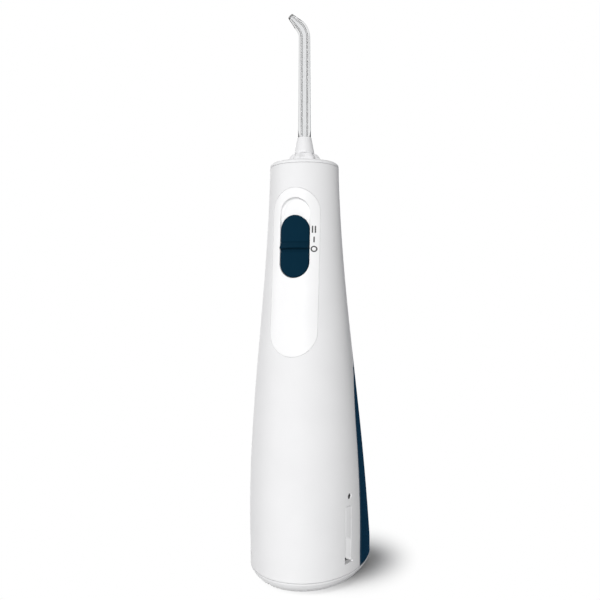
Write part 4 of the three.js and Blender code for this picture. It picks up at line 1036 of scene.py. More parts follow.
    def top_cap(self) -> bpy.types.Object:
        """The cap: a rounded shoulder, a flat top and a hole for the knob's skirt."""
        hole = self.form.neck - self.cap_hole
        profile = [
            (2.5, self.cap_low, 0),
            (2.5, self.cap_seat, 0),
            (0.0, self.cap_seat, 0.12),
            (0.2, self.cap_seat + 1.1, 0.9),
            (1.0, self.cap_top - 0.25, 0.6),
            (2.6, self.cap_top, 0.8),
            (hole, self.cap_top, 0.3),
            (hole, self.cap_low, 0),
        ]
        rows = self.rings(softened(profile, 5), 160)
        made = Shape().grid(np.concatenate([rows, rows[:1]]), wrap=True)
        return made.make("top_cap_skin", "handle", Look.CAP, "shell", "top_cap")

    def foot(self) -> bpy.types.Object:
        """The foot: a rounded edge with a small notch, and an underside open for the battery door."""
        height = self.foot_height
        profile = [
            (0.0, height, 0),
            (0.05, 4.6, 1.5),
            (1.4, 2.6, 1.5),
            (3.0, 1.0, 1.0),
            (4.4, 0.0, 0.7),
            (6.2, 0.0, 0),
        ]
        levels = softened(profile, 6)
        rows = self.rings(levels, 720)
        middle, half, high, deep = self.notch
        for row, (inset, z) in zip(rows, levels):
            nick = (np.abs(row[:, 0] - middle) < half) & (row[:, 1] < 0) & (z < high)
            angle = np.linspace(-np.pi, np.pi, len(row), endpoint=False)
            row[:] = self.form.surface(angle, row[:, 2], np.where(nick, max(inset, deep), inset))
        half, reach = self.hinge_room
        turn = math.acos(half / self.door_room)
        arc = np.linspace(np.pi - turn, 2 * np.pi + turn, 90)
        round_part = np.stack([self.door_room * np.cos(arc), self.tube_y + self.door_room * np.sin(arc)], -1)
        slot = run([round_part[-1], (half, reach), (-half, reach), round_part[0]], 1.0)[1:-1]
        opening = [np.insert(np.vstack([round_part, slot]), 2, z, 1) for z in (height, 0.0)]
        made = Shape().grid(rows, wrap=True).grid(np.stack(opening), wrap=True)
        made.add(level_patch([rows[0], opening[0]], 3.0), level_patch([rows[-1], opening[1]], 3.0))
        return made.make("base_plate_skin", "handle", Look.SHELL, "shell", "base_plate")

    def build(self) -> list[bpy.types.Object]:
        """All of the shells' pieces."""
        vents = [self.vent_shade_disc(right) for right in (True, False)]
        return [self.front_shell(), *vents, self.rear_shell(), self.top_cap(), self.foot()]


@dataclass
class ControlFace:
    """The panel with its trough, the slider and the switch marks."""

    form: BodyForm
    panel: Stadium = Stadium(12.19, 113.51, 197.39)
    panel_depth: float = 1.2
    slider: Stadium = Stadium(7.35, 152.5, 183.7, 0.2)
    travel: float = 8.4
    edge_gap: float = 0.3
    proud: float = 0.2
    thickness: float = 1.6
    floor_gap: float = 0.4
    tub_wall: float = 1.0
    rib_top: float = 169.9
    rib_foot: float = 166.5
    rib_crest: float = 167.1
    rib_proud: float = 1.9
    rib_ease: float = 0.02
    grooves: tuple[tuple[float, float, float], ...] = ((170.1, 0.3, 0.3), (165.9, 0.45, 0.5))
    trough_fillet: float = 1.1
    slider_edge: float = 0.55
    bars: tuple[tuple[float, float, float, float], ...] = (
        (8.89, 174.6, 0.62, 3.5),
        (10.16, 174.6, 0.62, 3.5),
        (9.65, 169.9, 0.62, 2.8),
    )
    ring: tuple[float, float, float, float] = (9.7, 166.6, 1.55, 0.92)
    ink: float = 0.03
    ink_round: float = 0.05

    def __post_init__(self) -> None:
        """Works out the leaning frame: the straight line through the front at the slider's two ends."""
        ends = self.form.section(np.array([self.slider.low, self.slider.high])).front
        self.middle = (self.slider.low + self.slider.high) / 2
        self.lean = math.atan((ends[0] - ends[1]) / (self.slider.high - self.slider.low))
        self.radius = float(self.form.section(np.array([self.middle])).front[0])
        self.inner = self.radius + self.proud - self.thickness
        self.floor = self.inner - self.floor_gap

    def leaned(self, x: Array, y: Array, z: Array) -> Array:
        """Points of the leaning frame, turned back about the front at the slider's middle."""
        back, up = y + self.radius, z - self.middle
        sine, cosine = math.sin(self.lean), math.cos(self.lean)
        return np.stack([x, back * cosine + up * sine - self.radius, up * cosine - back * sine + self.middle], -1)

    def on_cylinder(self, flat: Array, radius: float | Array) -> Array:
        """Plane points of the leaning frame, wrapped on a cylinder: y = -sqrt(r**2 - x**2)."""
        return self.leaned(flat[:, 0], -np.sqrt(np.maximum(radius**2 - flat[:, 0] ** 2, 0)), flat[:, 1])

    def behind(self, flat: Array, radius: float) -> Array:
        """Points at (x, z) on a leaning cylinder: y = (R - sqrt(r**2 - x**2)) / cos + (z - z0) tan - R."""
        out = self.radius - np.sqrt(np.maximum(radius**2 - flat[:, 0] ** 2, 0))
        y = out / math.cos(self.lean) + (flat[:, 1] - self.middle) * math.tan(self.lean) - self.radius
        return np.stack([flat[:, 0], y, flat[:, 1]], -1)

    def trough_outline(self, grow: float) -> Stadium:
        """The trough's outline in (x, z), grown by a wall."""
        shrink = math.cos(self.lean)
        reach = self.edge_gap + grow
        low = self.middle + (self.slider.low - reach - self.middle) * shrink
        high = self.middle + (self.slider.high + self.travel + reach - self.middle) * shrink
        return Stadium(self.slider.half + reach, low, high)

    def well(self, outline: Stadium, floor: float, fillet: float) -> list[Array]:
        """Rows from a wall's foot round a fillet and over a curved floor to the middle line.

        Args:
            outline: the wall's outline.
            floor: radius of the floor about the leaning axis.
            fillet: radius between wall and floor.

        Returns:
            The rows: offset f(1 - cos a) and height f(1 - sin a), then shares of the half width.
        """
        angles = np.linspace(0, np.pi / 2, 5)
        rows = [
            self.behind(outline.ring(-fillet * (1 - math.cos(a))), floor + fillet * (1 - math.sin(a)))
            for a in angles
        ]
        rest = outline.half - fillet
        shares = (0.8, 0.6, 0.4, 0.2, 0.0)
        return rows + [self.behind(outline.ring(-outline.half + rest * s), floor) for s in shares]

    def control_panel(self) -> bpy.types.Object:
        """The glossy panel and the trough that the slider runs in."""
        skin = Skin(self.form, FRONT)
        trough, tub = self.trough_outline(0.0), self.trough_outline(self.tub_wall)
        edge = Rim(self.panel.ring(), Facing.AHEAD, hole=False, radius=0.2)
        mouth = Rim(trough.ring(), Facing.AHEAD, radius=0.3)
        back = Rim(tub.ring(), Facing.AHEAD)
        inset = self.panel_depth
        made = Shape().add(skin.outer([edge, mouth]))
        made.add(skin.face(inset, [skin.loop(edge, 0.0, inset), skin.loop(back, 0.0, inset)]))
        made.grid(np.stack([*skin.rounding(edge), skin.placed(edge, 0.0, inset)]), wrap=True)
        made.grid(np.stack([*skin.rounding(mouth), *self.well(trough, self.floor, self.trough_fillet)]), wrap=True)
        backing = [skin.placed(back, 0.0, inset), *self.well(tub, self.floor - self.tub_wall, 0.3)]
        made.grid(np.stack(backing), wrap=True)
        return made.make("control_panel_skin", "handle", Look.PANEL, "panel", "control_panel")

    def rib(self, z: Array) -> Array:
        """Height of the thumb rib: the lower of two slopes, eased at the crest, less a groove on either side."""
        upper = (self.rib_top - z) / (self.rib_top - self.rib_crest)
        lower = (z - self.rib_foot) / (self.rib_crest - self.rib_foot)
        dip = sum(deep * np.exp(-(((z - height) / half) ** 2)) for height, deep, half in self.grooves)
        crest = (upper + lower - np.sqrt((upper - lower) ** 2 + self.rib_ease)) / 2
        return self.rib_proud * np.clip(crest, 0, 1) - dip

    def power_slider(self) -> bpy.types.Object:
        """The slider: a curved plate with a rounded edge and a rib across it."""
        outer = self.radius + self.proud

        def face(flat: Array) -> Array:
            """The plate's outer face with its rib."""
            return self.on_cylinder(flat, outer + self.rib(flat[:, 1]))

        start = self.slider.ring(-self.slider_edge)
        made = Shape().add(fill_patch([(start, face(start))], (0.6, 0.15), face))
        rows = []
        for a in np.linspace(0, np.pi / 2, 7):
            flat = self.slider.ring(-self.slider_edge * (1 - math.sin(a)))
            rows.append(self.on_cylinder(flat, outer + self.rib(flat[:, 1]) - self.slider_edge * (1 - math.cos(a))))
        outline = self.slider.ring()
        under = self.on_cylinder(outline, self.inner)
        made.grid(np.stack([*rows, under]), wrap=True)
        made.add(fill_patch([(outline, under)], (1.0, 1.0), lambda p: self.on_cylinder(p, self.inner)))
        return made.make("power_slider_skin", "power_slider", Look.SLIDER, "navy", "power_slider")

    def printed(self, loops: Sequence[Array]) -> Shape:
        """A thin printed mark on the panel, bounded by plane loops."""
        insets = (-self.ink, self.ink)
        lifts = [lambda p, i=inset: self.form.across(p[:, 0], p[:, 1], i, True) for inset in insets]
        return Shape().plate(loops, lifts, spacing=0.4)

    def marks(self) -> list[bpy.types.Object]:
        """The marks beside the slider: two bars, one bar and a ring."""
        shapes = []
        for x, low, width, height in self.bars:
            left, right, top = x - width / 2, x + width / 2, low + height
            places = [(left, low), (right, low), (right, top), (left, top)]
            shapes.append(self.printed([filleted([(*place, self.ink_round) for place in places], step=0.4)]))
        x, z, outer, inner = self.ring
        shapes.append(self.printed([circle(x, z, outer, 48), circle(x, z, inner, 40)]))
        return [s.make(f"switch_mark_{i + 1}", "handle", Look.MARK, "panel") for i, s in enumerate(shapes)]

    def build(self) -> list[bpy.types.Object]:
        """All of the control face's pieces."""
        return [self.control_panel(), self.power_slider(), *self.marks()]


@dataclass
class ReleaseTab:
    """A spring arm in a slot of the shell's side, with a finger ramp at its low end."""

    form: BodyForm
    front: float = -13.0
    back: float = -9.1
    high: float = 39.0
    low: float = 14.35
    slant: float = 0.437
    flush: float = 0.03
    depth: float = 2.2
    edge: float = 0.14
    ramp_depth: float = 1.0
    ramp_ease: float = 0.3
    ramp_top: float = 24.9
    ramp_slant: float = 0.8

    def inset(self, y: Array, z: Array, foot: Array) -> Array:
        """How deep the arm's face lies: rounded edges, and a ramp that deepens towards the front."""
        side = np.minimum(y - self.front, self.back - y)
        end = np.minimum(z - foot, self.high - z)
        near = np.clip(1 - np.minimum(side, end) / self.edge, 0, 1)
        rounded = self.edge * (1 - np.sqrt(1 - near**2))
        top = self.ramp_top - self.ramp_slant * (y - self.front)
        share = np.clip((self.back - y) / (self.back - self.front), 0, 1)
        ramp = self.ramp_depth * share * np.clip((top - z) / self.ramp_ease, 0, 1)
        return self.flush + rounded + ramp

    def make(self, right: bool) -> bpy.types.Object:
        """One of the two arms: a plate between its face and its back.

        Args:
            right: True for the side at +X.

        Returns:
            The piece.
        """
        eased = self.edge * (1 - np.cos(np.linspace(0, np.pi / 2, 6)))
        width, span = self.back - self.front, self.high - self.low
        u = np.concatenate([eased, np.linspace(self.edge, width - self.edge, 12)[1:-1], width - eased[::-1]])
        kink = [span - (self.high - self.ramp_top) + d for d in (-self.ramp_ease, 0.0)]
        v = np.unique([*eased, *np.linspace(self.edge, span - self.edge, 60), *kink, *(span - eased)])
        y = self.front + u[None, :] + 0 * v[:, None]
        foot = self.low - self.slant * (y - self.front)
        z = foot + (self.high - foot) * v[:, None] / span
        face = self.form.beside(y, z, self.inset(y, z, foot), right)
        back = self.form.beside(y, z, np.full_like(y, self.depth), right)
        side = "right" if right else "left"
        made = Shape().slab(face, back)
        name = f"release_tab_{side}"
        return made.make(f"{name}_arm", name, Look.SHELL, "shell", name)

    def build(self) -> list[bpy.types.Object]:
        """Both arms."""
        return [self.make(True), self.make(False)]


@dataclass
class WaterTank:
    """The clip-on tank: a hollow shell with a bay for the cell tube, and its fill door."""

    form: BodyForm
    bay: BayLine
    wall: float = 1.8
    tube_y: float = -4.0
    recess: float = 18.3
    recess_top: float = 63.0
    door_middle: float = 107.5
    door_width: float = 24.0
    door_height: float = 21.0
    door_corner: float = 5.0
    cover: float = 1.6
    gap: float = 0.3
    lip: float = 3.3
    frame_depth: float = 4.0
    frame_rim: float = 2.7
    hinge_z: float = 116.8
    barrel: float = 1.2
    barrel_half: float = 8.3
    barrel_gap: float = 0.1
    pin: float = 0.6
    pin_half: float = 9.6
    hinge_corner: float = 2.5
    rim_step: float = 0.8
    spacing: float = 2.2

    def seat(self) -> Array:
        """The door seat's outline in (x, z)."""
        half = self.door_width / 2 + self.gap
        low, high = (self.door_middle + s * (self.door_height / 2 + self.gap) for s in (-1, 1))
        corner = self.door_corner + self.gap
        places = [(half, low), (half, high), (-half, high), (-half, low)]
        return filleted([(*place, corner) for place in places], self.rim_step)

    def room(self, edge: Array, right: int, low: float, inset: float) -> list[Patch]:
        """The faces between the tank's skin and the cell tube's bay, at an inset.

        Args:
            edge: the skin's closed edge: up the right side, over, down the left side, round the foot.
            right: number of points of the right side; not used.
            low: height of the foot.
            inset: distance that all faces are moved into the tank.

        Returns:
            The bay face, the tube's recess, its ceiling and the floor.
        """
        offset = self.bay.gap + inset
        radius, top = self.recess + inset, self.recess_top + inset
        y = self.bay.y + offset
        first = math.asin((y - self.tube_y) / radius)
        angle = np.linspace(first, np.pi - first, 60)
        z = np.linspace(low, top, 26)
        arc = np.stack([radius * np.cos(angle), self.tube_y + radius * np.sin(angle)], -1)
        wall = np.stack([np.insert(arc, 2, level, 1) for level in z])
        half = float(arc[0, 0])
        over = run([(-half, y, top), (half, y, top)], 2.0)
        sides = len(edge) - len(self.foot_run(edge, low))
        left_foot = run([edge[sides - 1], (-half, y, low)], 2.0)
        right_foot = run([(half, y, low), edge[0]], 2.0)
        arch = np.vstack([wall[1:, -1], over[1:-1], wall[:0:-1, 0]])
        face = np.vstack([edge[:sides], left_foot[1:], arch, right_foot[:-1]])
        floor = np.vstack([edge[sides - 1 :], edge[:1], right_foot[::-1][1:], wall[0, 1:], left_foot[::-1][1:-1]])
        ceiling = np.vstack([wall[-1], over[1:-1]])
        return [
            fill_patch([(face[:, (0, 2)], face)], (self.spacing, self.spacing), self.bay.lift(offset)),
            grid_patch(wall),
            level_patch([ceiling], self.spacing),
            level_patch([floor], self.spacing),
        ]

    def foot_run(self, edge: Array, low: float) -> Array:
        """The part of a closed edge that runs round the foot, without its two corners."""
        level = np.abs(edge[:, 2] - low) < NOTHING
        return edge[level][2:] if level[0] else edge[level]

    def outline(self, offset: float, inset: float, low: float) -> tuple[Array, int]:
        """The skin's edge, unrolled, and the number of points of its right side."""
        path, right = self.bay.rim(self.form, offset, inset, low)
        turn = self.form.angle_of(path, BACK, inset)
        flat = np.stack([turn * self.form.round_scale, path[:, 2]], -1)
        return np.vstack([flat, run([flat[-1], flat[0]], 1.4)[1:-1]]), right

    def tank(self) -> bpy.types.Object:
        """The tank: outer and inner shells joined through the fill mouth."""
        skin = Skin(self.form, BACK)
        low = self.form.shell_low
        flat, right = self.outline(self.bay.gap, 0.0, low)
        edge = Rim(flat, Facing.AROUND, hole=False, radius=0.35)
        seat = Rim(self.seat(), Facing.BEHIND, radius=0.25)
        made = Shape().add(skin.outer([edge, seat]))
        rounding = skin.rounding(edge)
        made.grid(np.stack(rounding), wrap=True).add(*self.room(rounding[-1], right, low, 0.0))
        ledge = self.cover + self.gap
        steps = [
            (0.0, ledge),
            (-self.lip, ledge),
            (-self.lip, self.frame_depth),
            (self.frame_rim, self.frame_depth),
        ]
        mouth = [skin.placed(seat, out, inset) for out, inset in [*steps, (self.frame_rim, self.wall)]]
        made.grid(np.stack([*skin.rounding(seat), *mouth]), wrap=True)
        flat, right = self.outline(self.bay.gap + self.wall, self.wall, low + self.wall)
        inner = skin.loop(Rim(flat, Facing.AROUND), 0.0, self.wall)
        made.add(skin.face(self.wall, [inner, skin.loop(seat, self.frame_rim, self.wall)]))
        made.add(*self.room(inner[1], right, low + self.wall, self.wall))
        return made.make("tank_shell", "tank", Look.NAVY, "navy", "tank")

    def fill_door(self) -> bpy.types.Object:
        """The fill door: a curved cover with a hinge barrel, tapered over the pin's ends, along its upper edge."""
        half, corner = self.door_width / 2, self.door_corner
        low, top = self.door_middle - self.door_height / 2, self.hinge_z
        upper = self.hinge_corner
        corners = [(half, low, corner), (half, top, upper), (-half, top, upper), (-half, low, corner)]
        rim = Rim(filleted(corners, self.rim_step), Facing.BEHIND, hole=False, radius=0.3)
        made = Skin(self.form, BACK, self.cover, [rim], (1.2, 1.2)).shape()
        y = float(self.form.section(np.array([self.hinge_z])).back[0]) - self.barrel - self.barrel_gap
        angle = np.linspace(0, 2 * np.pi, 32, endpoint=False)
        right = [(self.barrel, self.barrel_half), (self.pin, self.pin_half), (0, self.pin_half)]
        rod = [*((r, -x) for r, x in reversed(right)), *right]
        rows = [
            np.stack([x + 0 * angle, y + r * np.cos(angle), self.hinge_z + r * np.sin(angle)], -1) for r, x in rod
        ]
        made.grid(np.stack(rows), wrap=True)
        return made.make("fill_door_cover", "fill_door", Look.NAVY, "navy", "fill_door")

    def build(self) -> list[bpy.types.Object]:
        """The tank and its door."""
        return [self.tank(), self.fill_door()]


@dataclass
class JetTip:
    """The turning knob, the tip's collar and its clear bent tube."""

    knob_low: float = 212.2
    knob_high: float = 217.25
    knob_foot: float = 7.9
    knob_middle: float = 7.5
    knob_crown: float = 5.7
    bore: float = 4.0
    skirt: float = 5.6
    skirt_low: float = 206.0
    lobe_share: float = 0.13
    lobes: int = 6
    turn: float = math.radians(14.3)
    collar_low: float = 217.4
    collar_top: float = 226.0
    collar_foot: float = 5.1
    collar_crown: float = 3.6
    stem: float = 1.9
    stem_low: float = 192.6
    tube_low: float = 3.35
    tube_high: float = 2.92
    tube_end: float = 1.5
    bore_low: float = 1.3
    bore_end: float = 0.45
    elbow: float = 281.9
    bend: float = 6.0
    reach: float = 10.5
    bent: float = math.radians(60)
    heading: float = math.radians(37)

    def knob(self) -> bpy.types.Object:
        """The knob: a low skirt under a lobed grip with rounded edges."""
        profile = [
            (self.bore, self.skirt_low, 0),
            (self.skirt, self.skirt_low, 0.3),
            (self.skirt, self.knob_low, 0),
            (self.knob_foot, self.knob_low, 0.4),
            (self.knob_middle, self.knob_low + (self.knob_high - self.knob_low) * 0.5, 1.5),
            (self.knob_crown, self.knob_high, 0.8),
            (self.bore, self.knob_high, 0.3),
            (self.bore, self.skirt_low, 0),
        ]

        def swell(r: Array, z: Array, angle: Array) -> Array:
            """Lobes: a cosine of the angle, only outside the skirt."""
            outside = (z >= self.knob_low - 0.01) & (r > self.skirt + 0.1)
            return self.lobe_share * outside * np.cos(self.lobes * (angle - self.turn))

        made = Shape().grid(turned(softened(profile, 5), 144, swell), wrap=True)
        return made.make("tip_knob_grip", "tip_knob", Look.TIP, "shell", "tip_knob")

    def collar(self) -> bpy.types.Object:
        """The collar: a cone over a low band, with a fine groove between them."""
        low = self.collar_low
        profile = [
            (self.stem + 0.1, low, 0),
            (self.collar_foot, low, 0.15),
            (self.collar_foot, low + 0.6, 0.1),
            (self.collar_foot - 0.12, low + 0.7, 0.03),
            (self.collar_foot - 0.05, low + 0.85, 0.1),
            (self.collar_crown, self.collar_top, 0.35),
            (self.stem + 0.1, self.collar_top, 0),
            (self.stem + 0.1, low, 0),
        ]
        made = Shape().grid(turned(softened(profile, 4), 96), wrap=True)
        return made.make("tip_collar_cone", "jet_tip", Look.TIP, "tip", "tip_collar")

    def tube(self) -> bpy.types.Object:
        """The clear tube: a profile of radii carried along a straight, a bend and a straight."""
        start = self.elbow - self.bend * math.tan(self.bent / 2)
        stop = start + self.bend * self.bent
        end = stop + self.reach - self.bend * math.tan(self.bent / 2)
        shoulder = self.collar_top + 0.1
        stations = np.concatenate(
            [
                np.linspace(shoulder, start, 12),
                np.linspace(start, stop, 20)[1:],
                np.linspace(stop, end, 8)[1:],
            ]
        )
        low = np.clip((stations - shoulder) / (stop - shoulder), 0, 1)
        high = np.clip((stations - stop) / (end - stop), 0, 1)
        outer = self.tube_low + (self.tube_high - self.tube_low) * low + (self.tube_end - self.tube_high) * high
        inner = self.bore_low + (self.bore_end - self.bore_low) * high
        stem = [(self.bore_low, self.stem_low), (self.stem, self.stem_low), (self.stem, shoulder - 0.02)]
        outside = [*stem, *zip(outer, stations), (inner[-1], stations[-1])]
        bore = [*zip(inner[::-1], stations[::-1]), stem[0]]
        made = Shape()
        for profile, look in ((outside, None), (bore, Look.BORE)):
            made.grid(self.bent_round(turned(profile, 64), start), wrap=True, look=look)
        tube = made.make("jet_tube_clear", "jet_tip", Look.CLEAR, "tip", "jet_tube")
        tube.visible_shadow = False
        return tube

    def bent_round(self, straight: Array, start: float) -> Array:
        """Upright points carried round the bend: an arc of the bend's radius, then straight on.

        Args:
            straight: points about the tip's axis.
            start: height at which the bend starts.

        Returns:
            The points, bent towards the heading.
        """
        along = np.maximum(straight[..., 2] - start, 0)
        turn = np.minimum(along / self.bend, self.bent)
        past = np.maximum(along - self.bend * self.bent, 0)
        out = self.bend * (1 - np.cos(turn)) + past * np.sin(turn)
        rise = np.minimum(straight[..., 2], start) + self.bend * np.sin(turn) + past * np.cos(turn)
        across, ahead = straight[..., 0], -straight[..., 1]
        forward = out + ahead * np.cos(turn)
        x = across * math.cos(self.heading) - forward * math.sin(self.heading)
        y = -across * math.sin(self.heading) - forward * math.cos(self.heading)
        return np.stack([x, y, rise - ahead * np.sin(turn)], -1)

    def build(self) -> list[bpy.types.Object]:
        """The knob, the collar and the tube."""
        return [self.knob(), self.collar(), self.tube()]


@dataclass
class InnerParts:
    """Pieces that keep the frame's own shapes, and their finishes."""

    finishes: dict[Look, tuple[str, ...]] = field(
        default_factory=lambda: {
            Look.SHELL: ("battery_door",),
            Look.TIP: ("tip_plug",),
            Look.NAVY: ("fill_door_pin",),
            Look.INNER: (
                "cell_tube",
                "outlet_pipe",
                "port_socket",
                "motor_mount",
                "gear_plate",
                "drive_gear",
                "pump_body",
                "plunger",
                "tip_socket",
            ),
            Look.SEAL: ("door_seal", "fill_seal", "port_seal", "tip_seal", "hall_sensor_1", "hall_sensor_2"),
            Look.STEEL: (
                *(f"case_screw_{i}" for i in range(1, 5)),
                "door_hinge_pin",
                "door_contact",
                *(f"cell_spring_{i}" for i in range(1, 4)),
                "intake_filter",
                "slider_magnet",
                "motor",
                "motor_shaft",
                "gear_axle",
            ),
            Look.BRASS: ("top_contact", "pinion", "inlet_valve", "outlet_valve"),
            Look.CELL: ("dry_cell_1", "dry_cell_2", "dry_cell_3"),
            Look.BOARD: ("control_board",),
            Look.HOSE: ("intake_tube", "suction_hose", "pressure_hose"),
        }
    )

    def build(self) -> list[bpy.types.Object]:
        """Gives each of these nodes its finish."""
        dressed = []
        for look, names in self.finishes.items():
            for name in names:
                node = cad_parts[name]
                node.data.materials.clear()
                node.data.materials.append(look.material())
                dressed.append(node)
        return dressed


@dataclass(frozen=True)
class Lamp:
    """A square lamp: degrees to the left of the camera and above the level, its side and its power in watts."""

    name: str
    turn: float
    rise: float
    size: float
    power: float


@dataclass
class Studio:
    """The pale floor, the lamps, the white surround, the camera and a card that paints dark reflections."""

    distance: float = 351.75
    turn: float = math.radians(15.6)
    eye: float = 141.4
    lens: float = 40.44
    shift: float = -0.0074
    floor_size: float = 4000.0
    floor_bounce: float = 0.29
    floor_color: float = 0.88
    shade_centre: tuple[float, float] = (11.5, 20.0)
    shade_reach: tuple[float, float] = (17.5, 46.0)
    shade_squash: float = 0.75
    ambient: float = 0.25
    lamp_distance: float = 3000.0
    lamp_aim: float = 110.0
    lamps: tuple[Lamp, ...] = (
        Lamp("key", 4, 10, 1300, 67),
        Lamp("left", 80, 15, 1300, 17),
        Lamp("back_left", 150, 12, 1300, 30),
        Lamp("back_right", -160, 12, 1300, 30),
    )
    wash: Lamp = Lamp("floor_wash", 75, 65, 1600, 103)
    flag_reach: tuple[float, float] = (-300.0, 800.0)
    flag_height: float = 700.0
    flag_distance: float = 900.0
    # Colour of the reflection that the card paints into gloss.
    reflection_color: tuple[float, float, float] = (0.009, 0.037, 0.077)

    def place(self, turn: float, rise: float, distance: float) -> Vector:
        """A point at a turn to the camera's left, a rise and a distance, from the tip's axis at half height."""
        angle = self.turn - turn
        out = distance * math.cos(rise)
        y = tip_axis_y() - out * math.cos(angle)
        return Vector((out * math.sin(angle), y, self.lamp_aim + distance * math.sin(rise))) * MM

    def lit(self, lamp: Lamp) -> bpy.types.Object:
        """A lamp that faces the flosser, out of sight in its gloss and glass."""
        data = bpy.data.lights.new(lamp.name, "AREA")
        data.size = lamp.size * MM
        data.energy = lamp.power
        made = bpy.data.objects.new(lamp.name, data)
        made.location = self.place(math.radians(lamp.turn), math.radians(lamp.rise), self.lamp_distance)
        made.rotation_euler = (self.place(0, 0, 0) - made.location).to_track_quat("-Z", "Y").to_euler()
        made.visible_transmission = made.visible_glossy = False
        bpy.context.scene.collection.objects.link(made)
        return made

    def sheet(self, name: str, corners: Sequence[Sequence[float]], material: bpy.types.Material) -> bpy.types.Object:
        """A sheet of the studio through four corners."""
        mesh = bpy.data.meshes.new(name)
        mesh.from_pydata(corners, [], [(0, 1, 2, 3)])
        mesh.materials.append(material)
        made = bpy.data.objects.new(name, mesh)
        bpy.context.scene.collection.objects.link(made)
        return made

    def reflection_card(self) -> bpy.types.Object:
        """A dark blue card far behind the flosser, which only glossy rays meet: its glow paints a dark blue
        reflection into the gloss of the tank and the shell.
        """
        left, right, high, y = (v * MM for v in (*self.flag_reach, self.flag_height, self.flag_distance))
        corners = [(left, y, -high), (right, y, -high), (right, y, high), (left, y, high)]
        material = bpy.data.materials.new("painted_reflection_card")
        material.use_nodes = True
        surface = material.node_tree.nodes["Principled BSDF"]
        surface.inputs["Base Color"].default_value = (0, 0, 0, 1)
        surface.inputs["Specular IOR Level"].default_value = 0
        # The glow is the colour of the painted reflection.
        surface.inputs["Emission Color"].default_value = (*self.reflection_color, 1)
        surface.inputs["Emission Strength"].default_value = 1
        card = self.sheet("painted_reflection_card", corners, material)
        card.visible_camera = card.visible_diffuse = card.visible_transmission = card.visible_shadow = False
        return card

    def seen(self, tree: bpy.types.NodeTree) -> bpy.types.NodeSocket:
        """A value of 1 for rays from the camera, from gloss and through glass, else 0."""
        rays = tree.nodes.new("ShaderNodeLightPath")
        value = rays.outputs["Is Camera Ray"]
        for kind in ("Is Glossy Ray", "Is Transmission Ray"):
            larger = tree.nodes.new("ShaderNodeMath")
            larger.operation = "MAXIMUM"
            tree.links.new(value, larger.inputs[0])
            tree.links.new(rays.outputs[kind], larger.inputs[1])
            value = larger.outputs["Value"]
        return value

    def floor(self) -> bpy.types.Object:
        """A level floor that shows the shadow near the flosser and is plain white further off."""
        half = self.floor_size / 2 * MM
        corners = [(-half, -half, 0), (half, -half, 0), (half, half, 0), (-half, half, 0)]
        material = bpy.data.materials.new("studio_floor")
        material.use_nodes = True
        tree = material.node_tree
        tree.nodes.clear()
        make = tree.nodes.new
        kinds = ("BsdfDiffuse", "Emission", "MixShader", "OutputMaterial")
        matte, glow, mix, end = (make("ShaderNode" + kind) for kind in kinds)
        level = make("ShaderNodeMapRange")
        level.inputs["To Min"].default_value = self.floor_bounce
        level.inputs["To Max"].default_value = self.floor_color
        coords, centre, length, fade, pick = (
            make("ShaderNode" + k) for k in ("TexCoord", "Mapping", "VectorMath", "MapRange", "Math")
        )
        seen = self.seen(tree)
        x, y = self.shade_centre
        centre.inputs["Location"].default_value = (-x * MM, -y * self.shade_squash * MM, 0)
        centre.inputs["Scale"].default_value = (1, self.shade_squash, 1)
        length.operation = "LENGTH"
        pick.operation = "MULTIPLY"
        limits = (*(r * MM for r in self.shade_reach), 0, 1)
        for key, value in zip(("From Min", "From Max", "To Min", "To Max"), limits):
            fade.inputs[key].default_value = value
        fade.interpolation_type = "SMOOTHSTEP"
        for output, target in (
            (coords.outputs["Object"], centre.inputs["Vector"]),
            (centre.outputs["Vector"], length.inputs[0]),
            (length.outputs["Value"], fade.inputs["Value"]),
            (fade.outputs["Result"], pick.inputs[0]),
            (seen, pick.inputs[1]),
            (seen, level.inputs["Value"]),
            (level.outputs["Result"], matte.inputs["Color"]),
            (pick.outputs["Value"], mix.inputs["Fac"]),
            (matte.outputs["BSDF"], mix.inputs[1]),
            (glow.outputs["Emission"], mix.inputs[2]),
            (mix.outputs["Shader"], end.inputs["Surface"]),
        ):
            tree.links.new(output, target)
        made = self.sheet("floor", corners, material)
        made.visible_glossy = False
        return made

    def surround(self) -> None:
        """A white world for the camera, mirrors and glass, and an even, weaker light for the rest."""
        world = bpy.data.worlds.new("surround")
        bpy.context.scene.world = world
        world.use_nodes = True
        tree = world.node_tree
        back = tree.nodes["Background"]
        strength = tree.nodes.new("ShaderNodeMapRange")
        tree.links.new(self.seen(tree), strength.inputs["Value"])
        strength.inputs["To Min"].default_value = self.ambient
        strength.inputs["To Max"].default_value = 1.0
        tree.links.new(strength.outputs["Result"], back.inputs["Strength"])
        back.inputs["Color"].default_value = (1, 1, 1, 1)

    def camera(self) -> None:
        """The camera: level, at the photograph's height and turn."""
        data = bpy.data.cameras.new("camera")
        data.lens = self.lens
        data.sensor_width = 36
        data.shift_x = self.shift
        data.clip_start = 0.01
        camera = bpy.data.objects.new("camera", data)
        x, y = self.distance * math.sin(self.turn), tip_axis_y() - self.distance * math.cos(self.turn)
        camera.location = Vector((x, y, self.eye)) * MM
        camera.rotation_euler = (math.pi / 2, 0, self.turn)
        bpy.context.scene.collection.objects.link(camera)
        bpy.context.scene.camera = camera

    def build(self) -> list[bpy.types.Object]:
        """Sets up the studio."""
        bpy.context.scene.view_settings.view_transform = "Standard"
        self.surround()
        self.camera()
        floor = self.floor()
        for lamps, state in ((self.lamps, "EXCLUDE"), ((self.wash,), "INCLUDE")):
            group = bpy.data.collections.new(f"floor_{state.lower()}")
            group.objects.link(floor)
            group.collection_objects[0].light_linking.link_state = state
            for row in lamps:
                self.lit(row).light_linking.receiver_collection = group
        return [floor, self.reflection_card()]


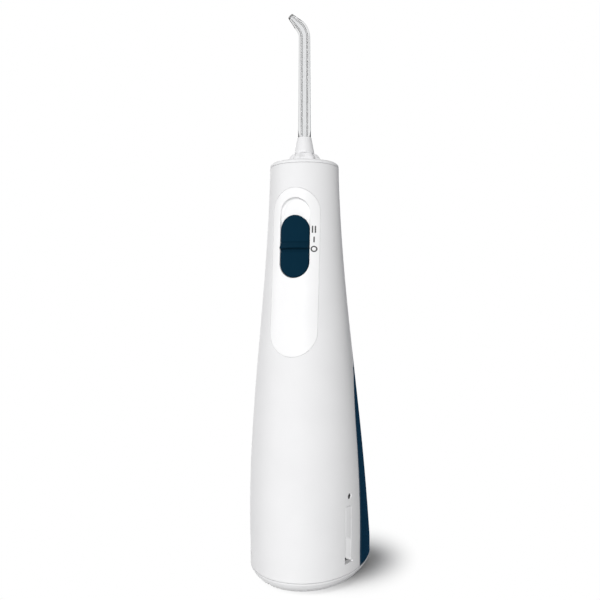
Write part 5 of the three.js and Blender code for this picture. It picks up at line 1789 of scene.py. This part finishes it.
def main() -> None:
    """Builds every sub-assembly in order and dresses it."""
    form, bay = BodyForm(), BayLine()
    parts = [
        HandleShells(form, bay),
        ControlFace(form),
        ReleaseTab(form),
        WaterTank(form, bay),
        JetTip(),
        InnerParts(),
        Studio(),
    ]
    for part in parts:
        made = part.build()
        LOG.info("%s: %s", type(part).__name__, ", ".join(o.name for o in made))


if __name__ == "__main__":
    main()
